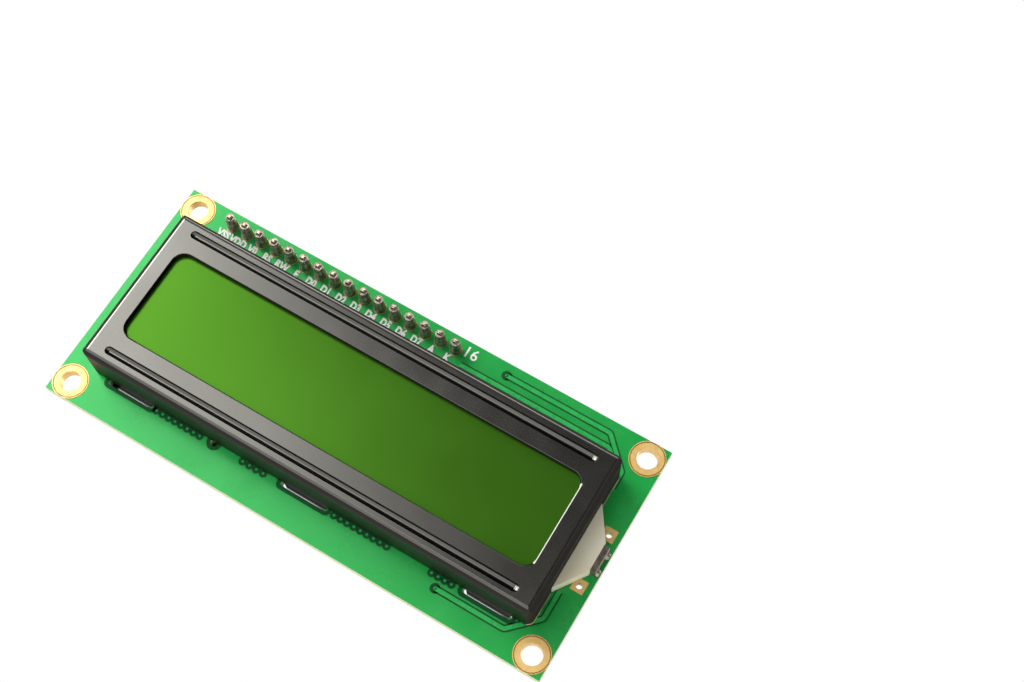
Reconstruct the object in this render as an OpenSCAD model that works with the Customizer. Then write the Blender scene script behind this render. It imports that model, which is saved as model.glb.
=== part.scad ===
// Character LCD module, two rows of sixteen, with a serial-bus backpack on its rear.
// Units are millimetres. The module stands as it is read: +Z is up, +X runs along the
// display to the backlight's LED, and the viewing side faces -Y. The origin is the centre
// of the four mounting holes, on the front face of the LCD board.
// Every sub-part is drawn lying down, with the board's front face on Z = 0 and its pin row
// towards +Y, and upright() then stands it up.

/* [LCD board] */
// Length of the LCD board
board_l = 80; // [79:0.5:84]
// Width of the LCD board
board_w = 36; // [35.5:0.5:38]
// Thickness of the LCD board
board_t = 1.6; // [1:0.1:2]
// Distance of a mounting hole's centre from the edges of the board
hole_inset = 2.5; // [2.4:0.05:3]
// Diameter of a plated mounting hole
hole_d = 3; // [2.5:0.1:3.2]
// Diameter of the plated ring round a mounting hole
ring_d = 5.2; // [4.6:0.1:5.4]
// Thickness of the plating on pads, rings and hole walls
plate_t = 0.06; // [0.04:0.01:0.1]
// Outer diameter of a round pin pad
pad_d = 1.9; // [1.6:0.1:2.2]

/* [Bezel] */
// Distance of the bezel's end walls from the ends of the board
bezel_end = 4.4; // [4:0.1:4.8]
// Mean distance of the bezel's long walls from the long edges of the board
bezel_side = 5.8; // [5.6:0.1:6]
// Height of the bezel's top face over the board
bezel_h = 7.7; // [7:0.1:9]
// Distance of the bezel's centre from the middle of the board
bezel_y = -0.45; // [-0.6:0.05:-0.3]
// Thickness of the bezel's steel sheet
sheet_t = 0.5; // [0.4:0.05:0.6]
// Outer radius of the bezel's folded edges
edge_r = 0.9; // [0.7:0.1:1.2]
// Outer radius of the bezel's upright corners
corner_r = 1; // [0.8:0.1:1.4]
// Width of the bezel's frame at either end of the window
frame_end = 3.1; // [2.9:0.1:4.5]
// Width of the bezel's frame along either side of the window
frame_side = 5.05; // [4.9:0.05:5.4]
// Corner radius of the viewing window
window_r = 1.8; // [1:0.1:3]
// Easing of the window's outer edge
lip_r = 0.2; // [0.1:0.05:0.3]
// Clearance between the window's turned rim and the polariser
rim_gap = 0.1; // [0.05:0.01:0.2]
// Distance of a pressed groove's ends from the ends of the bezel
groove_end = 2.9; // [2.6:0.1:5]
// Width of each pressed groove
groove_w = 1.2; // [1:0.05:1.3]
// Depth of each pressed groove
groove_h = 0.45; // [0.35:0.05:0.5]
// Distance of each groove from the outside of its long wall
groove_edge = 2.1; // [1.9:0.05:2.2]
// Distance of the outer fixing tabs' middles from the ends of the bezel
tab_end = 6.6; // [6:0.2:9]
// Width of a fixing tab
tab_w = 6.6; // [5:0.2:7]
// Length of a tab beyond the rear of the board
tab_out = 1.7; // [1.2:0.1:2]
// Turn of a tab's end when it is locked
tab_twist = 31; // [15:1:40]
// Clearance of a board slot round its tab
slot_gap = 0.45; // [0.3:0.05:0.5]
// Clearance between the walls' lower edges and the board
wall_gap = 0.35; // [0.2:0.05:0.5]
// Width of each corner foot
foot_w = 1.5; // [1.2:0.1:2.5]

/* [Display cell] */
// Thickness of each glass plate
glass_t = 1.1; // [0.7:0.1:1.2]
// Clearance between the glass and the bezel's walls
glass_gap = 0.4; // [0.3:0.05:0.6]
// Width of the ledge of front glass on either side of the rear glass
ledge_w = 2.2; // [2:0.1:2.4]
// Thickness of the seal between the plates
seal_t = 0.1; // [0.05:0.01:0.15]
// Width of the seal's band
seal_w = 1; // [0.6:0.1:1.2]
// Thickness of a polariser
polar_t = 0.2; // [0.15:0.01:0.25]
// Margin of the polarisers round the window
polar_over = 1.2; // [0.8:0.1:1.4]
// Clearance between the bezel's grooves and the front glass
press_gap = 0.1; // [0.05:0.01:0.2]
// Clearance on either side of a rubber contact strip
zebra_gap = 0.2; // [0.1:0.05:0.3]
// Distance of a contact strip's ends from the ends of the glass
zebra_end = 1.7; // [1:0.1:4]

/* [Backlight] */
// Thickness of the diffusing film
film_t = 0.2; // [0.1:0.05:0.3]
// Thickness of the reflecting sheet
reflector_t = 0.25; // [0.1:0.05:0.4]
// Amount by which the light guide is narrower than the rear glass, on either side
guide_gap = 0.1; // [0.05:0.05:0.3]
// Thickness of the guide's tongue outside the bezel
tongue_t = 2.4; // [1.8:0.1:2.8]
// Half width of the tongue where it leaves the bezel
tongue_root = 6.6; // [5:0.1:7]
// Half width of the tongue at its tip
tongue_tip = 2.2; // [2:0.1:3]
// Distance of the tongue's tip from the board's end
tongue_edge = 1.35; // [1.2:0.05:1.6]
// Thickness of the backlight LED
led_t = 0.8; // [0.6:0.05:0.9]
// Height of the backlight LED
led_h = 2.3; // [1.8:0.1:2.5]
// Distance between the two leads of the backlight LED
led_pitch = 2.65; // [2.4:0.05:2.9]
// Side of a backlight LED lead
led_lead = 0.45; // [0.35:0.05:0.5]

/* [Chips under epoxy] */
// Diameter of the larger epoxy blob
blob_1_d = 14.2; // [12:0.2:15]
// Diameter of the smaller epoxy blob
blob_2_d = 12; // [10:0.2:13]
// Height of an epoxy blob
blob_h = 1.6; // [1.2:0.1:2]
// Side of a bare chip
die_side = 3; // [2:0.1:4]
// Thickness of a bare chip
die_t = 0.35; // [0.2:0.05:0.5]

/* [Pin header] */
// Number of pins between the two boards
pin_count = 16; // [16:1:16]
// Pitch of every pin row
pitch = 2.54; // [2.5:0.01:2.54]
// Side of a square pin
pin_side = 0.64; // [0.5:0.02:0.66]
// Distance of pin one from the end of the LCD board
header_end = 8.5; // [8:0.1:8.8]
// Distance of the pin row from the long edge of the LCD board
header_edge = 2.1; // [1.8:0.1:2.4]
// Height of a pin's end over the front of the LCD board
pin_front = 3.4; // [2.5:0.1:4.4]
// Height of a pin's end over the backpack
pin_rear = 1.1; // [0.8:0.1:1.6]
// Height of the plastic strips of the pin headers
strip_h = 2.5; // [2:0.1:2.54]
// Gap between the LCD board and the backpack
board_gap = 4; // [3.6:0.1:6]
// Diameter of a drilled pin hole
drill_d = 1; // [0.96:0.01:1.1]
// Height of a solder cone
cone_h = 3; // [1:0.1:3]

/* [Backpack] */
// Distance of the outer header pins from the ends of the backpack
pack_end = 1.7; // [1.5:0.05:2]
// Width of the backpack board
pack_w = 19; // [18.6:0.1:19.4]
// Thickness of the backpack board
pack_t = 1.6; // [1:0.1:1.6]
// Distance of the pin row from the backpack's long edge
pack_edge = 1.45; // [1.3:0.05:1.6]
// Diameter of a solder dome on the backpack
dome_d = 1.7; // [1.5:0.05:1.9]

/* [Expander chip] */
// Width of the chip's body across its leads
chip_w = 7.5; // [7:0.1:7.6]
// Length of the chip's body along its leads
chip_l = 10.3; // [9.8:0.1:10.4]
// Thickness of the chip's body
chip_t = 2.3; // [2:0.05:2.5]
// Height of the chip's body over the board
chip_lift = 0.15; // [0.1:0.05:0.3]
// Reach of a lead beyond the chip's body
lead_reach = 1.45; // [1.3:0.05:1.6]
// Width of a lead
lead_w = 0.42; // [0.35:0.01:0.5]
// Thickness of a lead
lead_t = 0.25; // [0.2:0.01:0.3]
// Pitch of the leads
lead_pitch = 1.27; // [1.2:0.01:1.27]

/* [Trimmer] */
// Side of the trimmer's square housing
trim_side = 6.9; // [6.6:0.1:7.2]
// Height of the trimmer
trim_h = 4.9; // [4.4:0.1:5.2]
// Height of the feet under the housing
trim_foot = 0.4; // [0.2:0.1:0.6]
// Thickness of the housing's top wall
trim_top = 0.7; // [0.5:0.1:0.8]
// Diameter of the housing's inner bore
trim_bore = 5.6; // [5.2:0.1:5.8]
// Diameter of the rotor's hub
rotor_d = 2.7; // [2.4:0.1:3]
// Running clearance round the rotor
rotor_gap = 0.06; // [0.04:0.01:0.1]
// Width of the screwdriver slots in the hub
slot_w = 0.6; // [0.4:0.05:0.8]
// Depth of the screwdriver slots in the hub
slot_h = 0.7; // [0.5:0.05:0.9]

/* [Jumper and bus header] */
// Length of the jumper cap
cap_l = 6; // [5.6:0.1:6.4]
// Width of the jumper cap
cap_w = 4.9; // [4.8:0.05:5]
// Height of the jumper cap
cap_h = 2.4; // [2.2:0.05:2.5]
// Depth of the notch in the cap's outer end
cap_notch = 1.3; // [0.8:0.1:1.6]
// Length of the jumper pins beyond the cap
pin_past = 0.35; // [0.2:0.05:0.6]
// Thickness of the clip's brass
clip_t = 0.2; // [0.15:0.01:0.22]
// Clearance between the clip and a pin
clip_gap = 0.05; // [0.03:0.01:0.08]
// Length of the bus pins beyond their strip's centre
bus_reach = 6.7; // [6:0.1:7.5]
// Radius of a pin's bend, at its centre line
bend_r = 0.8; // [0.7:0.05:0.9]

/* [Small parts] */
// Length of a small chip resistor
chip_r_l = 2; // [1.9:0.05:2.1]
// Width of a small chip resistor
chip_r_w = 1.25; // [1.15:0.05:1.3]
// Thickness of a chip resistor
chip_r_t = 0.5; // [0.4:0.05:0.6]
// Length of the large chip resistor
big_r_l = 3.2; // [3:0.05:3.3]
// Width of the large chip resistor
big_r_w = 1.6; // [1.5:0.05:1.7]
// Length of a chip part's end caps
cap_end = 0.4; // [0.3:0.05:0.5]
// Length of the transistor's body
sot_l = 2.9; // [2.8:0.05:3]
// Width of the transistor's body
sot_w = 1.3; // [1.2:0.05:1.4]
// Height of the transistor
sot_h = 1; // [0.9:0.05:1.1]
// Height of the power LED
power_h = 0.8; // [0.6:0.05:1]
// Thickness of the capacitor
capacitor_t = 0.85; // [0.6:0.05:1]

/* [Hidden] */
$fn = 48;
// A cut runs this far past the face that it leaves
past = 1;

// Colours
mask_green = "#1f9a46";
gold = "#e2b25a";
solder = "#bdbab2";
black_steel = "#2b2b2d";
black_plastic = "#1a1a1c";

// Outlines that follow the board's, each from the one outside it
hole_dx = board_l - 2 * hole_inset;
hole_dy = board_w - 2 * hole_inset;
bezel_l = board_l - 2 * bezel_end;
bezel_w = board_w - 2 * bezel_side;
window_l = bezel_l - 2 * frame_end;
window_w = bezel_w - 2 * frame_side;
glass_l = bezel_l - 2 * (sheet_t + glass_gap);
front_glass_w = bezel_w - 2 * (sheet_t + glass_gap);
rear_glass_w = front_glass_w - 2 * ledge_w;
guide_w = rear_glass_w - 2 * guide_gap;
zebra_w = ledge_w - 2 * zebra_gap;
zebra_l = glass_l - 2 * zebra_end;

// Heights in the display's stack, from the board up
glass_top = bezel_h - sheet_t - groove_h - press_gap;
front_glass_z = glass_top - glass_t;
rear_glass_z = front_glass_z - seal_t - glass_t;
rear_polar_z = rear_glass_z - polar_t;
film_z = rear_polar_z - film_t;
guide_t = film_z - reflector_t;

// Bezel
wall_x = bezel_l / 2 - sheet_t;
wall_y = bezel_w / 2 - sheet_t;
rim_h = sheet_t + groove_h + press_gap - polar_t - rim_gap;
groove_l = bezel_l - 2 * groove_end;
groove_y = bezel_w / 2 - groove_edge;
groove_r = (pow(groove_w / 2, 2) + pow(groove_h, 2)) / (2 * groove_h);
tab_dx = bezel_l / 2 - tab_end;
tab_y = bezel_w / 2 - sheet_t / 2;
tab_turn_h = tab_out * 0.6;
tab_pivot = tab_w / 2 - sheet_t;
slot_l = tab_w + 2 * slot_gap;
polar_l = window_l + 2 * polar_over;
polar_w = window_w + 2 * polar_over;
zebra_y = (rear_glass_w + front_glass_w) / 4;

// Backlight at the end of the board
end_x = board_l / 2;
tongue_x = end_x - tongue_edge;
led_x = tongue_x + led_t / 2;
led_w = led_pitch + 1.2;
led_lift = 0.3;
led_drill = 2 * led_lead;
led_tail = 0.6;
led_joint_h = 0.5;
tongue_gap = 0.3;

// Square pads for a wired backlight
wire_pad = 1.9;
wire_pad_x = end_x - 1.75;
wire_pad_pitch = 8.05;
wire_drill = 0.95;

// Chips under epoxy, on the rear of the LCD board
blob_1_end = 27.5;
blob_2_end = 26.3;
blob_1 = [blob_1_end - end_x, -0.5];
blob_2 = [end_x - blob_2_end, 0.5];

// Pin row between the boards
row_l = pitch * (pin_count - 1);
row_x = -board_l / 2 + header_end + row_l / 2;
row_y = board_w / 2 - header_edge;
pack_z = -board_t - board_gap;
pack_face = pack_z - pack_t;

// Places on the backpack, from the middle of its pin row: the bus header and the trimmer
// keep their distance from one end, and the jumper and the parts beside it from the other
pack_l = row_l + 2 * pack_end;
pack_x = 0.1;
pack_y = pack_edge - pack_w / 2;
chip_at = [-0.35, -7.7];
bus_at = [pack_x - pack_l / 2 + 1.55, -7.25];
trim_at = [bus_at[0] + 7.55, -6.3];
jumper_at = [pack_x + pack_l / 2 - 1.6, -6.8];
sot_at = [jumper_at[0] - 4.2, -5.6];
power_step = 3.2;
power_at = [jumper_at[0] - power_step, -10.9];
capacitor_at = [sot_at[0] - 6, -5.7];
upright_steps = [3.5, 2.4, 5, 7.65];
upright_y = power_at[1] + 0.1;
pack_r_upright = [
    [sot_at[0] - upright_steps[0], capacitor_at[1]], [power_at[0] - upright_steps[1], upright_y],
    [power_at[0] - upright_steps[2], upright_y], [power_at[0] - upright_steps[3], upright_y]
];
// The flat resistors lie midway between the chip's end and the board's far edge.
flat_y = (chip_at[1] - chip_l / 2 + pack_edge - pack_w) / 2;
pack_r_flat = [[0.55, flat_y], [5.05, flat_y], [9.6, flat_y]];
address_pads = [trim_at[0] + 2.2, trim_at[0] - 0.3, trim_at[0] - 2.7];
address_y = flat_y + 0.8;
address_pad = [0.9, 0.8];
address_split = 0.6;
bus_count = 4;
jumper_count = 2;

// Bent pins, from the backpack's face
jumper_axis = strip_h + cap_h / 2 + 0.15;
cap_start = bend_r + 0.15;
jumper_reach = cap_start + cap_l + pin_past;
bus_axis = strip_h + bend_r + 0.1;
clip_half = pin_side / 2 + clip_gap + clip_t;
clip_w = pitch + pin_side + 0.6;
pin_tail = pack_t + 1.2;
pin_joint_h = 0.8;
rear_cone_h = 0.6;
cone_tip = 2 * pin_side;

// Leads: their span and how far they enter the chip, and the transistor's own
lead_span = chip_w + 2 * lead_reach;
lead_seat = 0.5;
lead_count = 8;
lead_pad = [1.8, lead_w + 0.2];
sot_lead_w = 0.42;
sot_span = 2.5;
sot_lift = 0.1;

// Trimmer, from the backpack's face
trim_ceiling = trim_h - trim_top;
flange_d = trim_bore - 0.6;
flange_t = 0.7;
element_z = trim_foot + 0.3;
element_t = 0.7;
track_t = 0.1;
wiper_t = 0.15;
trim_pin = 0.5;
foot_side = 0.8;
foot_inset = 0.3;
rotor_sink = 0.1;
track_w = 0.8;
trim_pin_y = 1.9;
trim_bevel = 0.35;
dimple_h = 0.2;
dimple_d = 0.5;
trim_pins_at = [[-pitch, -trim_pin_y], [0, trim_pin_y], [pitch, -trim_pin_y]];

// Places on the rear of the LCD board
lcd_r_end = 9.15;
lcd_r_x = lcd_r_end - end_x;
lcd_r6_end = 17.6;
lcd_r_small = [[lcd_r_x, -6.55], [lcd_r_x, -4.2], [lcd_r_x, -1.85], [lcd_r6_end - end_x, -3.9]];
lcd_r8_edge = 5.4;
lcd_r_big = [tab_dx - 9, board_w / 2 - lcd_r8_edge];
land_l = tab_w + 0.6;
land_w = 2.9;
driver_ends = [7.75, 13.5];
driver_pads_x = [end_x - driver_ends[0], end_x - driver_ends[1]];
driver_pads_y = [3.6, 2.3, 1, -0.3];
driver_pad = [2, 0.7];
link_ends = [8, 10.55, 12.9];
link_y = [5.55, 5.65, 5.55];
link_pads = [for (i = [0:2]) [end_x - link_ends[i], link_y[i]]];
link_pad_d = 1.9;
link_split = 0.25;
test_vias = [[end_x - 3.9, 0.65], [end_x - 3.9, -1.85]];
test_via_d = 1.7;
test_drill = 0.6;
spare_ends = [18.9, 16.5];
bare_ends = [8.6, 12];
bare_y = [-2.8, -6.2, -6.3];
bare_pads = [
    for (x = bare_ends, i = [0, 1]) [end_x - x, bare_y[i]],
    for (x = spare_ends) [x - end_x, bare_y[2]]
];
bare_pad = [1.6, 1.8];
// A plain hole by which the board is placed on its panel
index_end = 25.1;
index_at = [index_end - end_x, -12.7];
index_d = 1.2;

// ---- shared shapes ----

// Turns a sub-part from lying down, as it is drawn, to standing.
module upright() {
    rotate([90, 0, 0]) children();
}

// A rectangle with rounded corners, centred.
module rounded_rect(l, w, r) {
    square([l, w - 2 * r], center = true);
    square([l - 2 * r, w], center = true);
    for (x = [-1, 1], y = [-1, 1])
        translate([x * (l / 2 - r), y * (w / 2 - r)]) circle(r);
}

// A slot with round ends, centred.
module slot(l, w) {
    square([l - w, w], center = true);
    for (x = [-1, 1]) translate([x * (l - w) / 2, 0]) circle(w / 2);
}

// A box centred in X and Y that stands on Z = 0.
module block(l, w, h) {
    translate([-l / 2, -w / 2, 0]) cube([l, w, h]);
}

// A block whose four sides lean in by draft over its height.
module draft_block(l, w, h, draft) {
    linear_extrude(h, scale = [1 - 2 * draft / l, 1 - 2 * draft / w], slices = 1, $fn = 4)
        square([l, w], center = true);
}

// Half of the side view of a folded sheet: a rectangle of height h with round top corners.
module fold_profile(l, h, r) {
    translate([-l / 2, -past]) square([l, h - r + past]);
    translate([-l / 2 + r, 0]) square([l - 2 * r, h]);
    for (x = [-1, 1]) translate([x * (l / 2 - r), h - r]) circle(r);
}

// A pan with folded edges: three outlines crossed, one along each axis.
module pan(l, w, h, fold, corner) {
    intersection() {
        rotate([90, 0, 0]) linear_extrude(w + 2 * past, center = true) fold_profile(l, h, fold);
        rotate([90, 0, 90]) linear_extrude(l + 2 * past, center = true) fold_profile(w, h, fold);
        translate([0, 0, -past]) linear_extrude(h + 2 * past) rounded_rect(l, w, corner);
    }
}

// A quarter of a flat ring, in the first quadrant.
module quarter_ring(r, t) {
    intersection() {
        difference() {
            circle(r + t / 2);
            circle(r - t / 2);
        }
        square(r + t);
    }
}

// Children on the rear face of the LCD board, with Z leaving that face.
module on_rear() {
    translate([0, 0, -board_t]) mirror([0, 0, 1]) children();
}

// Children on the outer face of the backpack, with Z leaving that face.
module on_pack(at = [0, 0]) {
    translate([row_x + at[0], row_y + at[1], pack_face]) mirror([0, 0, 1]) children();
}

// Children once for each pin of the row between the boards.
module each_row_pin() {
    for (i = [0:pin_count - 1])
        translate([row_x - row_l / 2 + i * pitch, row_y, 0]) children();
}

// Children once for each pin of a row along Y on the backpack.
module each_pack_pin(at, count) {
    for (i = [0:count - 1])
        on_pack([at[0], at[1] + (i - (count - 1) / 2) * pitch]) children();
}

// Children once for each mounting hole.
module each_mount() {
    for (x = [-1, 1], y = [-1, 1])
        translate([x * hole_dx / 2, y * hole_dy / 2, 0]) children();
}

// Children once for each fixing tab; side is the tab's side of the display.
module each_tab() {
    for (side = [-1, 1], x = [-1, 0, 1])
        translate([x * tab_dx, bezel_y + side * tab_y, 0])
            rotate([0, 0, side > 0 ? 0 : 180]) children();
}

// A square pin that stands along Z between two heights, with bevelled ends.
module square_pin(side, low, high) {
    bevel = side / 4;
    translate([0, 0, low + bevel]) block(side, side, high - low - 2 * bevel);
    translate([0, 0, high - bevel])
        linear_extrude(bevel, scale = 0.5, slices = 1, $fn = 4) square(side, center = true);
    translate([0, 0, low + bevel]) mirror([0, 0, 1])
        linear_extrude(bevel, scale = 0.5, slices = 1, $fn = 4) square(side, center = true);
}

// A square pin that rises from a tail below the board and bends over to run along X.
module bent_pin(axis, reach) {
    bevel = pin_side / 4;
    rotate([90, 0, 0]) linear_extrude(pin_side, center = true) {
        translate([-pin_side / 2, -pin_tail])
            square([pin_side, pin_tail + axis - bend_r]);
        translate([bend_r, axis - bend_r]) mirror([1, 0]) quarter_ring(bend_r, pin_side);
        translate([bend_r, axis - pin_side / 2])
            square([reach - bend_r - bevel, pin_side]);
        polygon([
            [reach - bevel, axis - pin_side / 2], [reach, axis - pin_side / 4],
            [reach, axis + pin_side / 4], [reach - bevel, axis + pin_side / 2]
        ]);
    }
}

// A moulded strip for a row of pins along X, with a bevelled cell for each pin.
module pin_strip(count, h) {
    bevel = 0.45;
    difference() {
        linear_extrude(h) for (i = [0:count - 1]) translate([(i - (count - 1) / 2) * pitch, 0])
            polygon([
                [-pitch / 2, bevel - pitch / 2], [bevel - pitch / 2, -pitch / 2],
                [pitch / 2 - bevel, -pitch / 2], [pitch / 2, bevel - pitch / 2],
                [pitch / 2, pitch / 2 - bevel], [pitch / 2 - bevel, pitch / 2],
                [bevel - pitch / 2, pitch / 2], [-pitch / 2, pitch / 2 - bevel]
            ]);
        for (i = [0:count - 1]) translate([(i - (count - 1) / 2) * pitch, 0, -past])
            block(pin_side, pin_side, h + 2 * past);
    }
}

// A chip resistor or capacitor along X, with end caps that stand a little proud.
module chip_part(l, w, h) {
    proud = 0.03;
    block(l - 2 * proud, w - 2 * proud, h - proud);
    for (x = [-1, 1]) translate([x * (l - cap_end) / 2, 0, 0]) block(cap_end, w, h);
}

// The pair of pads for a chip part along X.
module chip_pads(l, w) {
    grow = 0.45;
    for (x = [-1, 1])
        translate([x * (l - cap_end + grow) / 2, 0, 0]) block(cap_end + grow, w, plate_t);
}

// A flat round pad with a drilled middle.
module round_pad(d, bore) {
    difference() {
        cylinder(h = plate_t, d = d);
        translate([0, 0, -past]) cylinder(h = plate_t + 2 * past, d = bore);
    }
}

// A flat square pad with a drilled middle.
module square_pad(side, bore) {
    difference() {
        block(side, side, plate_t);
        translate([0, 0, -past]) cylinder(h = plate_t + 2 * past, d = bore);
    }
}

// ---- LCD board ----

module lcd_board() {
    upright() color(mask_green) difference() {
        translate([0, 0, -board_t]) block(board_l, board_w, board_t);
        each_mount() translate([0, 0, -board_t - past])
            cylinder(h = board_t + 2 * past, d = hole_d + 2 * plate_t);
        each_row_pin() translate([0, 0, -board_t - past])
            cylinder(h = board_t + 2 * past, d = drill_d);
        each_tab() translate([0, 0, -board_t - past])
            linear_extrude(board_t + 2 * past) slot(slot_l, sheet_t + 2 * slot_gap);
        each_led_lead() translate([0, 0, -board_t - past])
            cylinder(h = board_t + 2 * past, d = led_drill);
        each_wire_pad() translate([0, 0, -board_t - past])
            cylinder(h = board_t + 2 * past, d = wire_drill);
        translate([index_at[0], index_at[1], -board_t - past])
            cylinder(h = board_t + 2 * past, d = index_d);
    }
}

module each_led_lead() {
    for (y = [-1, 1]) translate([led_x, bezel_y + y * led_pitch / 2, 0]) children();
}

module each_wire_pad() {
    for (y = [-1, 1]) translate([wire_pad_x, bezel_y + y * wire_pad_pitch / 2, 0]) children();
}

// Each plated hole is one piece: a barrel in the board's wall and a ring on either face.
module mounting_rings() {
    upright() color(gold) intersection() {
        translate([0, 0, -board_t - plate_t]) block(board_l, board_w, board_t + 2 * plate_t);
        each_mount() difference() {
            union() {
                cylinder(h = plate_t, d = ring_d);
                translate([0, 0, -board_t]) cylinder(h = board_t, d = hole_d + 2 * plate_t);
                translate([0, 0, -board_t - plate_t]) cylinder(h = plate_t, d = ring_d);
            }
            translate([0, 0, -board_t - past]) cylinder(h = board_t + 2 * past, d = hole_d);
        }
    }
}

module board_lands() {
    upright() color(gold) {
        // Front
        each_row_pin() round_pad(pad_d, drill_d);
        each_wire_pad() square_pad(wire_pad, wire_drill);
        // Rear
        on_rear() each_row_pin() round_pad(pad_d, drill_d);
        on_rear() each_wire_pad() square_pad(wire_pad, wire_drill);
        on_rear() each_led_lead() round_pad(led_lead * 3, led_drill);
        on_rear() for (side = [-1, 1], x = [-1, 0, 1])
            translate([
                x * tab_dx,
                bezel_y + side * (tab_y - sheet_t / 2 - slot_gap - land_w / 2), 0
            ]) block(land_l, land_w, plate_t);
        on_rear() for (x = driver_pads_x, y = driver_pads_y) translate([x, y, 0])
            linear_extrude(plate_t) slot(driver_pad[0], driver_pad[1]);
        on_rear() for (p = link_pads) translate([p[0], p[1], 0]) difference() {
            cylinder(h = plate_t, d = link_pad_d);
            translate([0, 0, -past]) block(link_split, 2 * link_pad_d, plate_t + 2 * past);
        }
        on_rear() for (p = test_vias) translate([p[0], p[1], 0])
            round_pad(test_via_d, test_drill);
        on_rear() for (p = bare_pads) translate([p[0], p[1], 0])
            block(bare_pad[0], bare_pad[1], plate_t);
        on_rear() for (p = lcd_r_small) translate([p[0], p[1], 0])
            chip_pads(chip_r_l, chip_r_w);
        on_rear() translate([lcd_r_big[0], lcd_r_big[1], 0]) chip_pads(big_r_l, big_r_w);
    }
}

// ---- bezel ----

module bezel() {
    upright() color(black_steel) {
        translate([0, bezel_y, 0]) {
            difference() {
                union() {
                    bezel_shell();
                    window_rim();
                    groove_ridges();
                }
                window_cut(0, bezel_h - rim_h - past, bezel_h + past);
                window_lip();
                grooves(groove_r);
                tongue_cut();
            }
            bezel_feet();
        }
        each_tab() fixing_tab();
    }
}

// The pressed pan, cut level above the board.
module bezel_shell() {
    difference() {
        pan(bezel_l, bezel_w, bezel_h, edge_r, corner_r);
        pan(2 * wall_x, 2 * wall_y, bezel_h - sheet_t, edge_r - sheet_t, corner_r - sheet_t);
        translate([0, 0, -2 * past])
            block(bezel_l + past, bezel_w + past, wall_gap + 2 * past);
    }
}

module window_cut(grow, low, high) {
    translate([0, 0, low]) linear_extrude(high - low)
        rounded_rect(window_l + 2 * grow, window_w + 2 * grow, window_r + grow);
}

// The window's outer edge is eased all round.
module window_lip() {
    top = lip_r + past;
    translate([0, 0, bezel_h - lip_r]) {
        rotate([90, 0, 90]) lip_bar(window_l - 2 * window_r, window_w / 2, top);
        rotate([90, 0, 0]) lip_bar(window_w - 2 * window_r, window_l / 2, top);
        for (x = [-1, 1], y = [-1, 1])
            translate([x * (window_l / 2 - window_r), y * (window_w / 2 - window_r), 0])
                cylinder(h = top, r1 = window_r, r2 = window_r + top);
    }
}

// A bar of length along the window, which widens upwards at 45 degrees from half its width.
module lip_bar(length, half, top) {
    linear_extrude(length, center = true)
        polygon([[-half, 0], [half, 0], [half + top, top], [-half - top, top]]);
}

// The window's edge is folded down towards the glass.
module window_rim() {
    window_cut(sheet_t / 2, bezel_h - rim_h, bezel_h - sheet_t / 2);
}

// Each groove is pressed into the sheet, so its underside stands proud inside.
module groove_ridges() {
    intersection() {
        grooves(groove_r + sheet_t);
        translate([0, 0, bezel_h - sheet_t - groove_h])
            block(bezel_l - 2 * edge_r, bezel_w - 2 * sheet_t, sheet_t + groove_h - edge_r / 4);
    }
}

// Both grooves as round bars of radius r about the grooves' own axes.
module grooves(r) {
    half = groove_l / 2 - groove_w / 2;
    for (side = [-1, 1]) translate([0, side * groove_y, bezel_h + groove_r - groove_h]) {
        translate([-half, 0, 0]) rotate([0, 90, 0]) cylinder(h = 2 * half, r = r);
        for (x = [-1, 1]) translate([x * half, 0, 0]) sphere(r);
    }
}

// The opening in the end wall through which the light guide's tongue leaves.
module tongue_cut() {
    translate([bezel_l / 2, 0, 0]) block(4 * sheet_t, 2 * (tongue_root + tongue_gap),
        reflector_t + tongue_t + tongue_gap);
}

// A foot at each corner carries the bezel on the board.
module bezel_feet() {
    for (x = [-1, 1], y = [-1, 1])
        translate([x * (wall_x + sheet_t / 2), y * (bezel_w / 2 - corner_r - foot_w / 2), 0])
            block(sheet_t, foot_w, wall_gap + sheet_t);
}

// A tab leaves the long wall and passes its slot. Below the board it is turned about one
// of its edges, so that it lies across its land.
module fixing_tab() {
    root = board_t + (tab_out - tab_turn_h);
    translate([0, 0, -root]) block(tab_w, sheet_t, root + wall_gap + sheet_t);
    translate([-tab_pivot, 0, -root]) mirror([0, 0, 1])
        linear_extrude(tab_turn_h, twist = tab_twist, slices = 8, $fn = 8)
            translate([tab_pivot, 0]) square([tab_w, sheet_t], center = true);
}

// ---- display cell ----

module front_polariser() {
    upright() color("#5f9a2e") translate([0, bezel_y, glass_top]) block(polar_l, polar_w, polar_t);
}

module front_glass() {
    upright() color("#cfe0d0") translate([0, bezel_y, front_glass_z])
        block(glass_l, front_glass_w, glass_t);
}

module cell_seal() {
    upright() color("#d8d8c8") translate([0, bezel_y, front_glass_z - seal_t]) difference() {
        block(polar_l, rear_glass_w - seal_w / 2, seal_t);
        translate([0, 0, -past]) block(polar_l - 2 * seal_w,
            rear_glass_w - seal_w / 2 - 2 * seal_w, seal_t + 2 * past);
    }
}

module rear_glass() {
    upright() color("#cfe0d0") translate([0, bezel_y, rear_glass_z]) block(glass_l, rear_glass_w, glass_t);
}

module rear_polariser() {
    upright() color("#6fa83a") translate([0, bezel_y, rear_polar_z]) block(polar_l, polar_w, polar_t);
}

module contact_strips() {
    upright() color("#e08a9a") for (side = [-1, 1])
        translate([0, bezel_y + side * zebra_y, 0]) block(zebra_l, zebra_w, front_glass_z);
}

// ---- backlight ----

module diffuser_film() {
    upright() color("#f4f4ec") translate([0, bezel_y, film_z]) block(polar_l, guide_w, film_t);
}

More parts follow.
